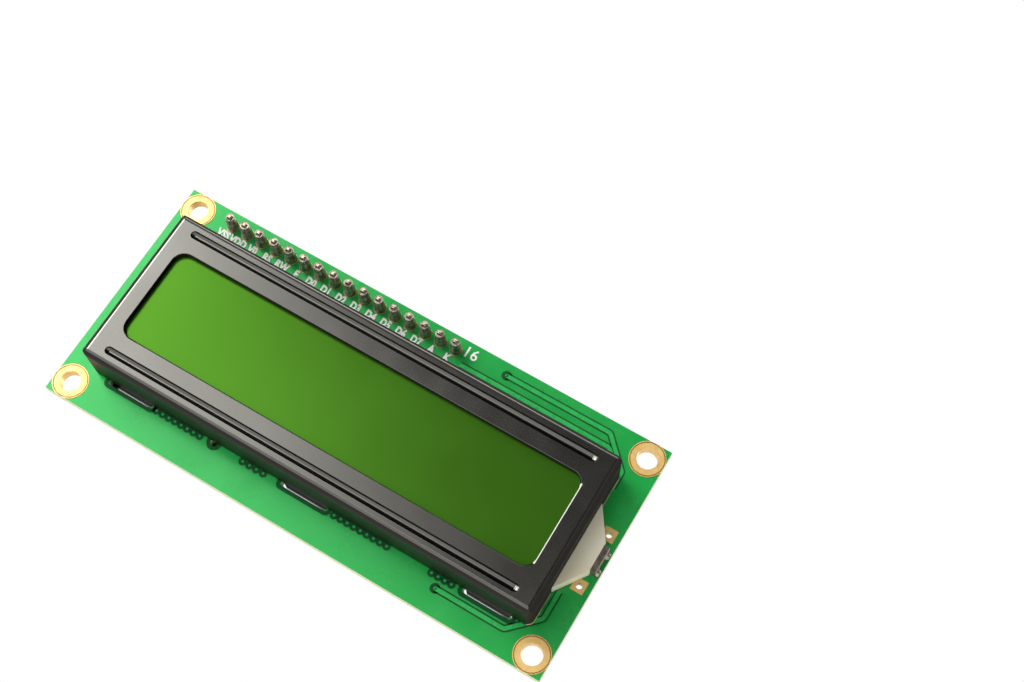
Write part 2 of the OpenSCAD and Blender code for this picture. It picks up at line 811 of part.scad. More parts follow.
// The guide is one plate whose end narrows to a tongue that meets the LED.
module light_guide() {
    shoulder = bezel_l / 2 - sheet_t - glass_gap;
    upright() color("#f2efe0") translate([0, bezel_y, reflector_t]) {
        block(2 * shoulder, guide_w, guide_t);
        linear_extrude(tongue_t) polygon([
            [shoulder - past, -tongue_root], [bezel_l / 2, -tongue_root],
            [tongue_x, -tongue_tip], [tongue_x, tongue_tip],
            [bezel_l / 2, tongue_root], [shoulder - past, tongue_root]
        ]);
    }
}

module reflector_sheet() {
    upright() color("#ffffff") translate([0, bezel_y, 0])
        block(2 * (wall_x - glass_gap), guide_w, reflector_t);
}

module backlight_led() {
    upright() color("#f3ecd8") translate([led_x, bezel_y, led_lift]) difference() {
        block(led_t, led_w, led_h);
        // The moulding is bevelled along its outer upper edge.
        translate([led_t / 2, 0, led_h]) rotate([0, 45, 0])
            block(led_t / 3, led_w + past, led_t / 3);
    }
}

module backlight_leads() {
    upright() color(solder) each_led_lead()
        translate([0, 0, -board_t - led_tail])
            block(led_lead, led_lead, board_t + led_tail + led_lift);
}

module backlight_solder() {
    upright() color(solder) each_led_lead() difference() {
        union() {
            translate([0, 0, -board_t]) cylinder(h = board_t, d = led_drill);
            intersection() {
                translate([led_t / 3, 0, 0]) sphere(d = led_lead * 3);
                translate([-led_t / 2, 0, 0]) block(3 * led_t, 3 * led_t, led_t);
            }
            translate([0, 0, -board_t - plate_t]) mirror([0, 0, 1])
                cylinder(h = led_joint_h, d1 = led_lead * 2.8, d2 = led_lead * 1.6);
            translate([0, 0, -board_t - plate_t]) cylinder(h = plate_t, d = led_drill);
        }
        translate([0, 0, -board_t - past]) block(led_lead, led_lead, board_t + 2 * past);
        translate([0, 0, led_lift]) block(led_t, led_w, led_h);
    }
}

// ---- chips under epoxy ----

module bare_die(at) {
    on_rear() translate([at[0], at[1], 0]) block(die_side, die_side, die_t);
}

// A drop of epoxy: the cap of a ball that is d across and as high as the blob.
module epoxy(at, d) {
    ball = (pow(d / 2, 2) + pow(blob_h, 2)) / (2 * blob_h);
    on_rear() translate([at[0], at[1], 0]) difference() {
        intersection() {
            translate([0, 0, blob_h - ball]) sphere(ball, $fn = 96);
            block(d + past, d + past, blob_h + past);
        }
        translate([0, 0, -past]) block(die_side, die_side, die_t + past);
    }
}

module controller_die() { upright() color("#8a8a94") bare_die(blob_1); }
module driver_die() { upright() color("#8a8a94") bare_die(blob_2); }
module controller_epoxy() { upright() color("#26241f") epoxy(blob_1, blob_1_d); }
module driver_epoxy() { upright() color("#26241f") epoxy(blob_2, blob_2_d); }

// ---- resistors on the LCD board ----

module lcd_resistor(at, l, w) {
    upright() color("#3a3833") on_rear() translate([at[0], at[1], plate_t]) chip_part(l, w, chip_r_t);
}

module lcd_resistor_1() { lcd_resistor(lcd_r_small[0], chip_r_l, chip_r_w); }
module lcd_resistor_2() { lcd_resistor(lcd_r_small[1], chip_r_l, chip_r_w); }
module lcd_resistor_3() { lcd_resistor(lcd_r_small[2], chip_r_l, chip_r_w); }
module lcd_resistor_6() { lcd_resistor(lcd_r_small[3], chip_r_l, chip_r_w); }
module lcd_resistor_8() { lcd_resistor(lcd_r_big, big_r_l, big_r_w); }

// ---- header between the boards ----

module header_strip() {
    upright() color(black_plastic) translate([row_x, row_y, pack_z]) pin_strip(pin_count, strip_h);
}

module header_pins() {
    upright() color(gold) each_row_pin() square_pin(pin_side, pack_face - pin_rear, pin_front);
}

// One joint: a cone on the front face, the filled hole and a low cone on the rear.
module lcd_header_solder() {
    upright() color(solder) each_row_pin() difference() {
        union() {
            translate([0, 0, plate_t])
                cylinder(h = cone_h, d1 = pad_d - 0.1, d2 = cone_tip);
            translate([0, 0, -board_t - plate_t])
                cylinder(h = board_t + 2 * plate_t, d = drill_d);
            translate([0, 0, -board_t - plate_t]) mirror([0, 0, 1])
                cylinder(h = rear_cone_h, d1 = pad_d - 0.4, d2 = pin_side * 1.6);
        }
        translate([0, 0, pack_face]) block(pin_side, pin_side, pin_front - pack_face);
    }
}

// The joints on the backpack are low domes that leave the pin ends just showing.
module backpack_header_solder() {
    upright() color(solder) each_row_pin() difference() {
        union() {
            translate([0, 0, pack_face]) cylinder(h = pack_t, d = drill_d);
            translate([0, 0, pack_face - plate_t]) cylinder(h = plate_t, d = drill_d);
            intersection() {
                translate([0, 0, pack_face - plate_t]) sphere(d = dome_d);
                translate([0, 0, pack_face - plate_t - dome_d])
                    block(2 * dome_d, 2 * dome_d, dome_d);
            }
        }
        translate([0, 0, pack_face - dome_d])
            block(pin_side, pin_side, pack_t + dome_d + past);
    }
}

// ---- backpack board ----

module backpack_board() {
    upright() color("#1a1a1e") difference() {
        translate([row_x + pack_x, row_y + pack_y, pack_face]) block(pack_l, pack_w, pack_t);
        each_row_pin() translate([0, 0, pack_z]) pack_hole();
        each_pack_pin(bus_at, bus_count) pack_hole();
        each_pack_pin(jumper_at, jumper_count) pack_hole();
        for (p = trim_pins_at) on_pack(trim_at + p) pack_hole();
    }
}

// A drilled hole through the board that lies under Z = 0.
module pack_hole() {
    translate([0, 0, -pack_t - past]) cylinder(h = pack_t + 2 * past, d = drill_d);
}

// A round pad on the backpack's inner face.
module inner_pad() {
    translate([0, 0, -pack_t - plate_t]) round_pad(pad_d, drill_d);
}

module backpack_lands() {
    upright() color(gold) {
        each_row_pin() translate([0, 0, pack_face - plate_t]) round_pad(pad_d, drill_d);
        each_pack_pin(bus_at, bus_count) inner_pad();
        each_pack_pin(jumper_at, jumper_count) inner_pad();
        for (p = trim_pins_at) on_pack(trim_at + p) inner_pad();
        for (i = [0:lead_count - 1], side = [-1, 1])
            on_pack([chip_at[0] + side * (lead_span / 2 - 0.2), lead_y(i)])
                block(lead_pad[0], lead_pad[1], plate_t);
        for (p = pack_r_upright) on_pack(p) rotate([0, 0, 90]) chip_pads(chip_r_l, chip_r_w);
        for (p = pack_r_flat) on_pack(p) chip_pads(chip_r_l, chip_r_w);
        on_pack(capacitor_at) rotate([0, 0, 90]) chip_pads(chip_r_l, chip_r_w);
        on_pack(power_at) rotate([0, 0, 90]) chip_pads(chip_r_l, chip_r_w);
        for (x = address_pads, side = [-1, 1])
            on_pack([x, address_y + side * (address_pad[1] + address_split) / 2])
                block(address_pad[0], address_pad[1], plate_t);
        for (p = sot_pins()) on_pack(sot_at + [p[0], p[1] * 1.25])
            block(sot_lead_w + 0.35, 0.9, plate_t);
    }
}

// ---- bus expander chip ----

function lead_y(i) = chip_at[1] + (i - (lead_count - 1) / 2) * lead_pitch;

// A moulded body whose sides slope to a parting line at the leads.
module expander_chip() {
    draft = 0.12;
    lead_z = chip_t / 2;
    upright() color("#46464a") on_pack(chip_at) translate([0, 0, chip_lift]) difference() {
        union() {
            translate([0, 0, lead_z]) draft_block(chip_w, chip_l, chip_t - lead_z, draft);
            translate([0, 0, lead_z]) mirror([0, 0, 1])
                draft_block(chip_w, chip_l, lead_z, draft);
        }
        // A long bevel marks the side of pin one, and a dimple its corner.
        translate([-chip_w / 2 + draft, 0, chip_t]) rotate([0, 45, 0])
            translate([0, 0, -0.4]) block(0.8, chip_l + past, 0.8);
        translate([-chip_w / 2 + 1.5, -chip_l / 2 + 1.5, chip_t - 0.1])
            cylinder(h = past, d = 1);
        for (i = [0:lead_count - 1], side = [-1, 1])
            translate([side * chip_w / 2, lead_y(i) - chip_at[1], lead_z - lead_t / 2])
                block(2 * lead_seat, lead_w, lead_t);
    }
}

// Gull-wing leads: out of the body, down to the pads and flat along them.
module expander_leads() {
    upright() color(solder) for (i = [0:lead_count - 1]) {
        on_pack([chip_at[0], lead_y(i)]) gull_wing();
        on_pack([chip_at[0], lead_y(i)]) mirror([1, 0, 0]) gull_wing();
    }
}

module gull_wing() {
    top = chip_lift + chip_t / 2;
    low = plate_t + lead_t / 2;
    r = 0.35;
    leg = chip_w / 2 + 0.25 + r;
    rotate([90, 0, 0]) linear_extrude(lead_w, center = true) {
        translate([chip_w / 2 - lead_seat, top - lead_t / 2])
            square([leg - r - chip_w / 2 + lead_seat, lead_t]);
        translate([leg - r, top - r]) quarter_ring(r, lead_t);
        translate([leg - lead_t / 2, low + r]) square([lead_t, top - low - 2 * r]);
        translate([leg + r, low + r]) rotate(180) quarter_ring(r, lead_t);
        translate([leg + r, low - lead_t / 2])
            square([lead_span / 2 - leg - r, lead_t]);
    }
}

// ---- trimmer ----

module trimmer_housing() {
    upright() color("#4d96f0") on_pack(trim_at) difference() {
        union() {
            translate([0, 0, trim_foot]) linear_extrude(trim_h - trim_foot - trim_bevel)
                rounded_rect(trim_side, trim_side, trim_bevel);
            translate([0, 0, trim_h - trim_bevel])
                draft_block(trim_side - trim_bevel / 2, trim_side - trim_bevel / 2,
                    trim_bevel, trim_bevel * 0.75);
            for (x = [-1, 1], y = [-1, 1])
                translate([x, y, 0] * (trim_side / 2 - foot_inset - foot_side / 2))
                    block(foot_side, foot_side, trim_foot + trim_bevel);
        }
        translate([0, 0, -past]) cylinder(h = trim_ceiling + past, d = trim_bore);
        translate([0, 0, trim_ceiling - past])
            cylinder(h = trim_top + 2 * past, d = rotor_d + 2 * rotor_gap);
        for (p = trim_pins_at) translate([p[0], p[1], -past])
            block(trim_pin, trim_pin, element_z + element_t + past);
        // A small dimple beside the rotor marks the housing's first corner.
        translate([trim_side * 0.28, -trim_side * 0.24, trim_h - dimple_h])
            cylinder(h = dimple_h + past, d = dimple_d);
    }
}

module trimmer_rotor() {
    flange_z = trim_ceiling - rotor_gap - flange_t;
    upright() color("#ded6b4") on_pack(trim_at) difference() {
        union() {
            translate([0, 0, flange_z]) cylinder(h = flange_t, d = flange_d);
            translate([0, 0, flange_z]) cylinder(h = trim_h - rotor_sink - flange_z, d = rotor_d);
        }
        for (turn = [0, 90]) rotate([0, 0, turn])
            translate([0, 0, trim_h - rotor_sink - slot_h])
                block(rotor_d + past, slot_w, past + slot_h);
    }
}

// A spring disc under the rotor whose two bumps run on the track.
module trimmer_wiper() {
    disc_z = trim_ceiling - rotor_gap - flange_t - wiper_t;
    reach = disc_z - element_z - element_t - track_t - rotor_gap;
    upright() color("#c9a24a") on_pack(trim_at) {
        translate([0, 0, disc_z]) difference() {
            cylinder(h = wiper_t, d = flange_d - 0.2);
            translate([0, 0, -past]) cylinder(h = wiper_t + 2 * past, d = 1.2);
        }
        for (side = [-1, 1]) translate([0, side * track_r(), disc_z - reach])
            cylinder(h = reach, d1 = 0.3, d2 = 0.6);
    }
}

function track_r() = (flange_d - 0.4 - track_w) / 2;

// A ceramic disc with a printed track, which closes the housing from below.
module trimmer_element() {
    upright() color("#e6e0d2") on_pack(trim_at) translate([0, 0, element_z]) difference() {
        union() {
            cylinder(h = element_t, d = trim_bore - 0.1);
            translate([0, 0, element_t]) difference() {
                cylinder(h = track_t, r = track_r() + track_w / 2);
                translate([0, 0, -past])
                    cylinder(h = track_t + 2 * past, r = track_r() - track_w / 2);
            }
        }
        for (p = trim_pins_at) translate([p[0], p[1], -past])
            block(trim_pin, trim_pin, element_t + track_t + 2 * past);
    }
}

module trimmer_pins() {
    upright() color(solder) for (p = trim_pins_at) on_pack(trim_at + p)
        translate([0, 0, -pin_tail]) block(trim_pin, trim_pin, pin_tail + element_z + element_t);
}

// ---- jumper ----

module jumper_strip() {
    upright() color(black_plastic) on_pack(jumper_at) rotate([0, 0, 90]) pin_strip(jumper_count, strip_h);
}

module jumper_pins() {
    upright() color(gold) each_pack_pin(jumper_at, jumper_count) bent_pin(jumper_axis, jumper_reach);
}

// Children at the middle of the cap's inner end, with X along the pins.
module at_cap() {
    on_pack(jumper_at) translate([cap_start, 0, jumper_axis]) children();
}

// A sleeve over both pins, with a notch in its outer end that shows the clip.
module jumper_cap() {
    bevel = 0.5;
    upright() color("#4b4b50") at_cap() difference() {
        translate([0, 0, -cap_h / 2]) linear_extrude(cap_h) polygon([
            [0, -cap_w / 2], [cap_l - bevel, -cap_w / 2], [cap_l, bevel - cap_w / 2],
            [cap_l, cap_w / 2 - bevel], [cap_l - bevel, cap_w / 2], [0, cap_w / 2]
        ]);
        translate([-past, -clip_w / 2, -clip_half])
            cube([cap_l + 2 * past, clip_w, 2 * clip_half]);
        translate([cap_l, 0, 0]) linear_extrude(cap_h) polygon([
            [-cap_notch, -cap_w / 8], [0, -cap_w / 3], [past, -cap_w / 3],
            [past, cap_w / 3], [0, cap_w / 3], [-cap_notch, cap_w / 8]
        ]);
    }
}

// Two brass leaves joined by a web between the pins.
module jumper_clip() {
    margin = 0.4;
    web = 0.5;
    upright() color("#c9a24a") at_cap() {
        for (side = [-1, 1])
            translate([margin, -clip_w / 2, side > 0 ? clip_half - clip_t : -clip_half])
                cube([cap_l - 2 * margin, clip_w, clip_t]);
        translate([margin, -web / 2, -clip_half])
            cube([cap_l - 2 * margin, web, 2 * clip_half]);
    }
}

// ---- bus header ----

module bus_strip() {
    upright() color(black_plastic) on_pack(bus_at) rotate([0, 0, 90]) pin_strip(bus_count, strip_h);
}

module bus_pins() {
    upright() color(gold) each_pack_pin(bus_at, bus_count) mirror([1, 0, 0])
        bent_pin(bus_axis, bus_reach);
}

// Solder on the backpack's inner face and in the holes of its own pins.
module backpack_pin_solder() {
    upright() color(solder) {
        each_pack_pin(bus_at, bus_count) pin_joint(pin_side);
        each_pack_pin(jumper_at, jumper_count) pin_joint(pin_side);
        for (p = trim_pins_at) on_pack(trim_at + p) pin_joint(trim_pin);
    }
}

module pin_joint(side) {
    difference() {
        union() {
            translate([0, 0, -pack_t - plate_t]) cylinder(h = pack_t + plate_t, d = drill_d);
            translate([0, 0, -pack_t - plate_t]) mirror([0, 0, 1])
                cylinder(h = pin_joint_h, d1 = pad_d - 0.2, d2 = side * 1.5);
        }
        translate([0, 0, -pack_t - 2 * past]) block(side, side, pack_t + 3 * past);
    }
}

// ---- small parts on the backpack ----

module power_led() {
    upright() color("#eef4e6") on_pack(power_at) translate([0, 0, plate_t]) rotate([0, 0, 90]) {
        block(chip_r_l, chip_r_w, power_h / 2);
        block(chip_r_l - 2 * cap_end, chip_r_w, power_h);
    }
}

function sot_pins() = [[-0.95, -1], [0.95, -1], [0, 1]];

module transistor_body() {
    draft = 0.1;
    upright() color("#202022") on_pack(sot_at) translate([0, 0, sot_lift])
        difference() {
            draft_block(sot_l, sot_w, sot_h - sot_lift, draft);
            for (p = sot_pins()) translate([p[0], p[1] * sot_w / 2, sot_h / 2 - lead_t / 4])
                block(sot_lead_w, 0.6, lead_t / 2);
        }
}

module transistor_leads() {
    top = sot_lift + sot_h / 2;
    t = lead_t / 2;
    upright() color(solder) for (p = sot_pins()) on_pack([sot_at[0] + p[0], sot_at[1]])
        mirror([0, p[1] < 0 ? 1 : 0, 0]) translate([0, sot_w / 2, 0]) {
            translate([-sot_lead_w / 2, -0.3, top - t / 2]) cube([sot_lead_w, 0.5, t]);
            translate([-sot_lead_w / 2, 0.2 - t, plate_t])
                cube([sot_lead_w, t, top + t / 2 - plate_t]);
            translate([-sot_lead_w / 2, 0.2 - t, plate_t])
                cube([sot_lead_w, (sot_span - sot_w) / 2 - 0.2 + t, t]);
        }
}

module filter_capacitor() {
    upright() color("#c79a62") on_pack(capacitor_at) translate([0, 0, plate_t]) rotate([0, 0, 90])
        chip_part(chip_r_l, chip_r_w, capacitor_t);
}

module upright_resistor(i) {
    upright() color("#3a3833") on_pack(pack_r_upright[i]) translate([0, 0, plate_t])
        rotate([0, 0, 90]) chip_part(chip_r_l, chip_r_w, chip_r_t);
}

module flat_resistor(i) {
    upright() color("#3a3833") on_pack(pack_r_flat[i]) translate([0, 0, plate_t])
        chip_part(chip_r_l, chip_r_w, chip_r_t);
}

module backpack_resistor_4() { flat_resistor(0); }
module backpack_resistor_5() { flat_resistor(1); }
module backpack_resistor_6() { flat_resistor(2); }
module backpack_resistor_7() { upright_resistor(0); }
module backpack_resistor_8() { upright_resistor(2); }
module backpack_resistor_9() { upright_resistor(3); }
module backpack_resistor_10() { upright_resistor(1); }

lcd_board();
mounting_rings();
board_lands();
bezel();
front_polariser();
front_glass();
cell_seal();
rear_glass();
rear_polariser();
diffuser_film();
light_guide();
reflector_sheet();
contact_strips();
backlight_led();
backlight_leads();
backlight_solder();
controller_die();
driver_die();
controller_epoxy();
driver_epoxy();
lcd_resistor_1();
lcd_resistor_2();
lcd_resistor_3();
lcd_resistor_6();
lcd_resistor_8();
header_strip();
header_pins();
lcd_header_solder();
backpack_header_solder();
backpack_board();
backpack_lands();
expander_chip();
expander_leads();
trimmer_housing();
trimmer_rotor();
trimmer_wiper();
trimmer_element();
trimmer_pins();
jumper_strip();
jumper_pins();
jumper_cap();
jumper_clip();
bus_strip();
bus_pins();
backpack_pin_solder();
power_led();
transistor_body();
transistor_leads();
filter_capacitor();
backpack_resistor_4();
backpack_resistor_5();
backpack_resistor_6();
backpack_resistor_7();
backpack_resistor_8();
backpack_resistor_9();
backpack_resistor_10();
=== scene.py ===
"""Looks for a character LCD module with a serial-bus backpack on its rear.

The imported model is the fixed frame: each sub-assembly below dresses its own nodes and adds
what is too fine for them, such as tracks under the solder mask, print, and solder fillets.
Flat work is drawn in millimetres on a Face and then turned into place.
"""

import logging
import math
from dataclasses import dataclass, field, replace
from enum import Enum
from typing import Any, Callable, Iterable, Sequence

import bmesh
import bpy
from mathutils import Matrix, Vector


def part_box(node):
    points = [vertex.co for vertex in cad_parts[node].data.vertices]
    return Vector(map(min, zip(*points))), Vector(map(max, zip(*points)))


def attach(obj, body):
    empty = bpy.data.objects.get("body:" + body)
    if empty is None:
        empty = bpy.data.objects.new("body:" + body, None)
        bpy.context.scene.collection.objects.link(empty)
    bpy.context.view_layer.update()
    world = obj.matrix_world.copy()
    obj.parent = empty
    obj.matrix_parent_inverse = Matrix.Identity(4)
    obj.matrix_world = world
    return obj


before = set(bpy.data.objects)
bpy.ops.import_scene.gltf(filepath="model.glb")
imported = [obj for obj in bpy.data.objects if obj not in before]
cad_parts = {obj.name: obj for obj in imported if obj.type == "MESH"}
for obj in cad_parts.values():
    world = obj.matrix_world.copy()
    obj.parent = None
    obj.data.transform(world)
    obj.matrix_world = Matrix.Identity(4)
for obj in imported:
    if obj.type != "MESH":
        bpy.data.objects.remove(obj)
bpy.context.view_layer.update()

MM = 0.001
FAR = 1.0
MAIN_BODY = "module"

log = logging.getLogger("lcd_module")

Point = tuple[float, float]
Span = tuple[float, float]
Line = Sequence[Point]
Colour = tuple[float, float, float, float]
EVERYWHERE: Span = (-FAR, FAR)
WHITE: Colour = (1.0, 1.0, 1.0, 1.0)


# ---- shared tools ----

def linear(code: str) -> Colour:
    """Turns a colour written as sRGB hex into the linear values that a shader takes.

    Args:
        code: the colour, such as "#1E9A46".

    Returns:
        Red, green, blue and an alpha of one.
    """
    shares = [int(code[i:i + 2], 16) / 255 for i in (1, 3, 5)]
    red, green, blue = (v / 12.92 if v <= 0.04045 else ((v + 0.055) / 1.055) ** 2.4 for v in shares)
    return red, green, blue, 1.0


def add_node(tree: bpy.types.NodeTree, kind: str, settings: dict[str, Any] | None = None,
             inputs: dict[Any, Any] | None = None) -> bpy.types.Node:
    """Adds a node with its settings and links.

    Args:
        tree: the node tree that the node goes into.
        kind: the node's type name.
        settings: properties of the node itself.
        inputs: for each input's name or number, a constant or the output socket that feeds it.

    Returns:
        The new node.
    """
    node = tree.nodes.new(kind)
    for name, value in (settings or {}).items():
        setattr(node, name, value)
    for key, value in (inputs or {}).items():
        if isinstance(value, bpy.types.NodeSocket):
            tree.links.new(value, node.inputs[key])
        else:
            node.inputs[key].default_value = value
    return node


def cleared(owner: bpy.types.Material | bpy.types.World) -> bpy.types.NodeTree:
    """Turns on the nodes of a material or a world, and empties them.

    Args:
        owner: the material or the world.

    Returns:
        Its empty tree.
    """
    owner.use_nodes = True
    owner.node_tree.nodes.clear()
    return owner.node_tree


def placed(name: str, mesh: bpy.types.Mesh) -> bpy.types.Object:
    """Puts a mesh into the scene as an object at the origin.

    Args:
        name: the new object's name.
        mesh: its mesh.

    Returns:
        The object.
    """
    piece = bpy.data.objects.new(name, mesh)
    bpy.context.scene.collection.objects.link(piece)
    return piece


def centre_of(node: str) -> Vector:
    """Returns the middle of a node's box."""
    low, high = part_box(node)
    return (low + high) / 2


# ---- finishes ----

@dataclass(frozen=True)
class Patch:
    """What differs inside a box of the shared frame, whose limits are in metres.

    A value of None stays as it is around the patch. `strength` is how fully the patch covers
    what lies below it.
    """

    x: Span = EVERYWHERE
    y: Span = EVERYWHERE
    z: Span = EVERYWHERE
    colour: str | None = None
    roughness: float | None = None
    metallic: float | None = None
    ior: float | None = None
    strength: float = 1.0

    def share(self, tree: bpy.types.NodeTree,
              place: bpy.types.NodeSocket) -> bpy.types.NodeSocket:
        """Works out where the patch lies.

        Args:
            tree: the material's tree.
            place: the object's coordinates.

        Returns:
            The patch's strength inside its box, and nought outside.
        """
        parts = add_node(tree, "ShaderNodeSeparateXYZ", inputs={0: place}).outputs
        share: Any = self.strength
        for axis, span in zip("XYZ", (self.x, self.y, self.z)):
            if span == EVERYWHERE:
                continue
            low, high = span
            inside = add_node(tree, "ShaderNodeMath", {"operation": "COMPARE"}, {
                0: parts[axis], 1: (low + high) / 2, 2: (high - low) / 2})
            share = add_node(tree, "ShaderNodeMath", {"operation": "MULTIPLY"},
                             {0: share, 1: inside.outputs[0]}).outputs[0]
        return share

    def cover(self, tree: bpy.types.NodeTree, place: bpy.types.NodeSocket,
              made: dict[str, Any]) -> None:
        """Lays the patch over a surface.

        Args:
            tree: the material's tree.
            place: the object's coordinates.
            made: the shader's inputs so far, which the patch changes.
        """
        share = self.share(tree, place)
        # A Mix node takes two colours in its inputs 6 and 7, and two numbers in 2 and 3.
        if self.colour:
            made["Base Color"] = add_node(tree, "ShaderNodeMix", {"data_type": "RGBA"}, {
                0: share, 6: made["Base Color"], 7: linear(self.colour)}).outputs[2]
        numbers = {"Roughness": self.roughness, "Metallic": self.metallic, "IOR": self.ior}
        for name, value in numbers.items():
            if value is not None:
                made[name] = add_node(tree, "ShaderNodeMix", {"data_type": "FLOAT"}, {
                    0: share, 2: made[name], 3: value}).outputs[0]


@dataclass(frozen=True)
class Finish:
    """A surface: what it is made of, how it was made, and what that gives the eye.

    Colours are sRGB hex values and lengths are millimetres. The colour drifts between
    `colour` and `other` in soft patches, and a fine grain raises the surface. `patches` say
    where the surface differs. `slot` names the CAD model's material slot for a piece that is
    added in this finish, but nothing in this script reads it.
    """

    name: str
    colour: str
    other: str
    roughness: float
    metallic: float = 0.0
    ior: float = 1.5
    coat: float = 0.0
    coat_roughness: float = 0.1
    drift: float = 5.0
    grain: float = 0.15
    grain_height: float = 0.0
    polish_spread: float = 0.08
    edge: float = 0.0
    stretch: tuple[float, float, float] = (1.0, 1.0, 1.0)
    subsurface: float = 0.0
    slot: str = ""
    patches: tuple[Patch, ...] = ()

    def material(self) -> bpy.types.Material:
        """Builds the procedural material.

        Returns:
            The material, which reads Object coordinates alone.
        """
        material = bpy.data.materials.new(self.name)
        tree = cleared(material)
        place = add_node(tree, "ShaderNodeTexCoord").outputs["Object"]
        made = self.surface(tree, place)
        for patch in self.patches:
            patch.cover(tree, place, made)
        shader = add_node(tree, "ShaderNodeBsdfPrincipled", inputs=made)
        add_node(tree, "ShaderNodeOutputMaterial", inputs={"Surface": shader.outputs[0]})
        return material

    def surface(self, tree: bpy.types.NodeTree, place: bpy.types.NodeSocket) -> dict[str, Any]:
        """Makes the surface below the patches.

        Args:
            tree: the material's tree.
            place: the object's coordinates.

        Returns:
            The shader's inputs by name.
        """
        spread = add_node(tree, "ShaderNodeMapping", {"vector_type": "POINT"},
                          {"Vector": place, "Scale": self.stretch}).outputs[0]
        drift, polish, grain = (
            add_node(tree, "ShaderNodeTexNoise", inputs={
                "Vector": spread, "Scale": 1 / (size * MM), "Detail": detail}).outputs["Fac"]
            for size, detail in ((self.drift, 3.0), (self.drift / 3, 3.0), (self.grain, 2.0)))
        ramp = add_node(tree, "ShaderNodeValToRGB", inputs={"Fac": drift})
        ends = ramp.color_ramp.elements
        ends[0].position, ends[1].position = 0.35, 0.65
        ends[0].color, ends[1].color = linear(self.colour), linear(self.other)
        rubbed = add_node(tree, "ShaderNodeMapRange", inputs={
            "Value": polish, "From Min": 0.3, "From Max": 0.7,
            "To Min": max(self.roughness - self.polish_spread, 0.02),
            "To Max": min(self.roughness + self.polish_spread, 1.0)})
        return {
            "Base Color": ramp.outputs["Color"], "Roughness": rubbed.outputs[0],
            "Normal": self.relief(tree, grain), "Metallic": self.metallic, "IOR": self.ior,
            "Coat Weight": self.coat, "Coat Roughness": self.coat_roughness,
            "Subsurface Weight": self.subsurface, "Subsurface Scale": MM,
        }

    def relief(self, tree: bpy.types.NodeTree,
               grain: bpy.types.NodeSocket) -> bpy.types.NodeSocket:
        """Raises the grain, over edges that are rounded by the finish's edge radius.

        Args:
            tree: the material's tree.
            grain: the pattern of the grain.

        Returns:
            The surface's normal.
        """
        if not self.grain_height:
            return add_node(tree, "ShaderNodeNewGeometry").outputs["Normal"]
        links: dict[str, Any] = {"Distance": self.grain_height * MM, "Strength": 1.0,
                                 "Height": grain}
        if self.edge:
            links["Normal"] = add_node(tree, "ShaderNodeBevel", {"samples": 4},
                                       {"Radius": self.edge * MM}).outputs[0]
        return add_node(tree, "ShaderNodeBump", inputs=links).outputs[0]


# Cast and cured resins, papers and inks scatter light; tin, gold and steel only reflect it.

# Solder mask, screened and cured over copper: glossy, with the copper's slow waves below.
GREEN_MASK = Finish("green_solder_mask_over_copper", "#24AA4B", "#27AE4F", 0.24, metallic=0.15,
                    ior=1.4, drift=14, grain=0.9, grain_height=0.004)
# The same mask over bare laminate: darker, as nothing bright lies below it.
DARK_MASK = Finish("green_solder_mask_over_laminate", "#084A20", "#0A5226", 0.45, ior=1.3,
                   drift=8, grain=0.5, grain_height=0.003, slot="green_solder_mask")
# Mask over a copper track: it stands up and catches the light.
TRACK_MASK = Finish("green_solder_mask_over_track", "#2DB856", "#33BF5C", 0.26, metallic=0.15,
                    ior=1.4, drift=8, grain=0.4, grain_height=0.003, slot="green_solder_mask")
# Immersion gold over nickel: satin, with a warm drift where it was handled.
GOLD_PLATE = Finish("immersion_gold_plate", "#F4CE84", "#EBC273", 0.42, metallic=0.6,
                    drift=1.5, grain=0.12, grain_height=0.004)
# The same plating over the rough copper of the wide lands: duller, and darker with handling.
LAND_GOLD = Finish("handled_gold_land", "#D9AC64", "#C4944B", 0.42, metallic=0.85, drift=2.5,
                   grain=0.1, grain_height=0.006, stretch=(1, 1, 0.3))
# Plating that crept under the edge of the mask: darker than the ring inside it.
RING_RIM = Finish("stained_plating_edge", "#A9763A", "#8F6230", 0.5, metallic=0.7, drift=1,
                  grain=0.1, grain_height=0.003, slot="gold_plate")
# Tin-lead solder that set in air: bright, wrinkled, with dull flux in the hollows.
SOLDER = Finish("reflowed_solder", "#C9C0B2", "#8B8173", 0.26, metallic=1.0, drift=0.5,
                grain=0.45, grain_height=0.014, polish_spread=0.12, slot="solder")
# Solder drawn up the pins by hand: brown with burnt flux, and dull where it cooled slowly.
HEADER_SOLDER = Finish("fluxed_hand_solder", "#B5A698", "#6B5E52", 0.36, metallic=0.75, drift=0.7,
                       grain=0.6, grain_height=0.02, polish_spread=0.14, slot="solder")
# Square pins, drawn and plated with a thin flash of gold over nickel.
PIN_METAL = Finish("plated_pin_wire", "#DCD4BE", "#B9AE94", 0.26, metallic=1.0, drift=0.8,
                   grain=0.25, grain_height=0.006, edge=0.04, stretch=(1, 0.2, 1))
# Gull-wing leads, stamped and matt tinned.
TINNED_LEAD = Finish("matt_tinned_lead", "#CBC8BE", "#A5A196", 0.34, metallic=1.0, drift=0.4,
                     grain=0.15, grain_height=0.006, edge=0.03)
# Phosphor bronze strip, stamped.
SPRING_BRASS = Finish("stamped_phosphor_bronze", "#D9AE5C", "#C0934A", 0.3, metallic=1.0,
                      drift=0.8, grain=0.1, grain_height=0.003, edge=0.03)
# Liquid crystal cell behind a green polarising film: smooth, with a faint mirror below it.
POLARISER = Finish("transflective_green_polariser", "#40721A", "#43761D", 0.22, metallic=0.62,
                   ior=1.15, drift=30, grain=0.4, grain_height=0.0004, polish_spread=0.02)
# Float glass, ground at its edges.
GLASS = Finish("ground_float_glass", "#C9DCCF", "#BFD6C8", 0.2, drift=10, grain=0.1,
               grain_height=0.002)
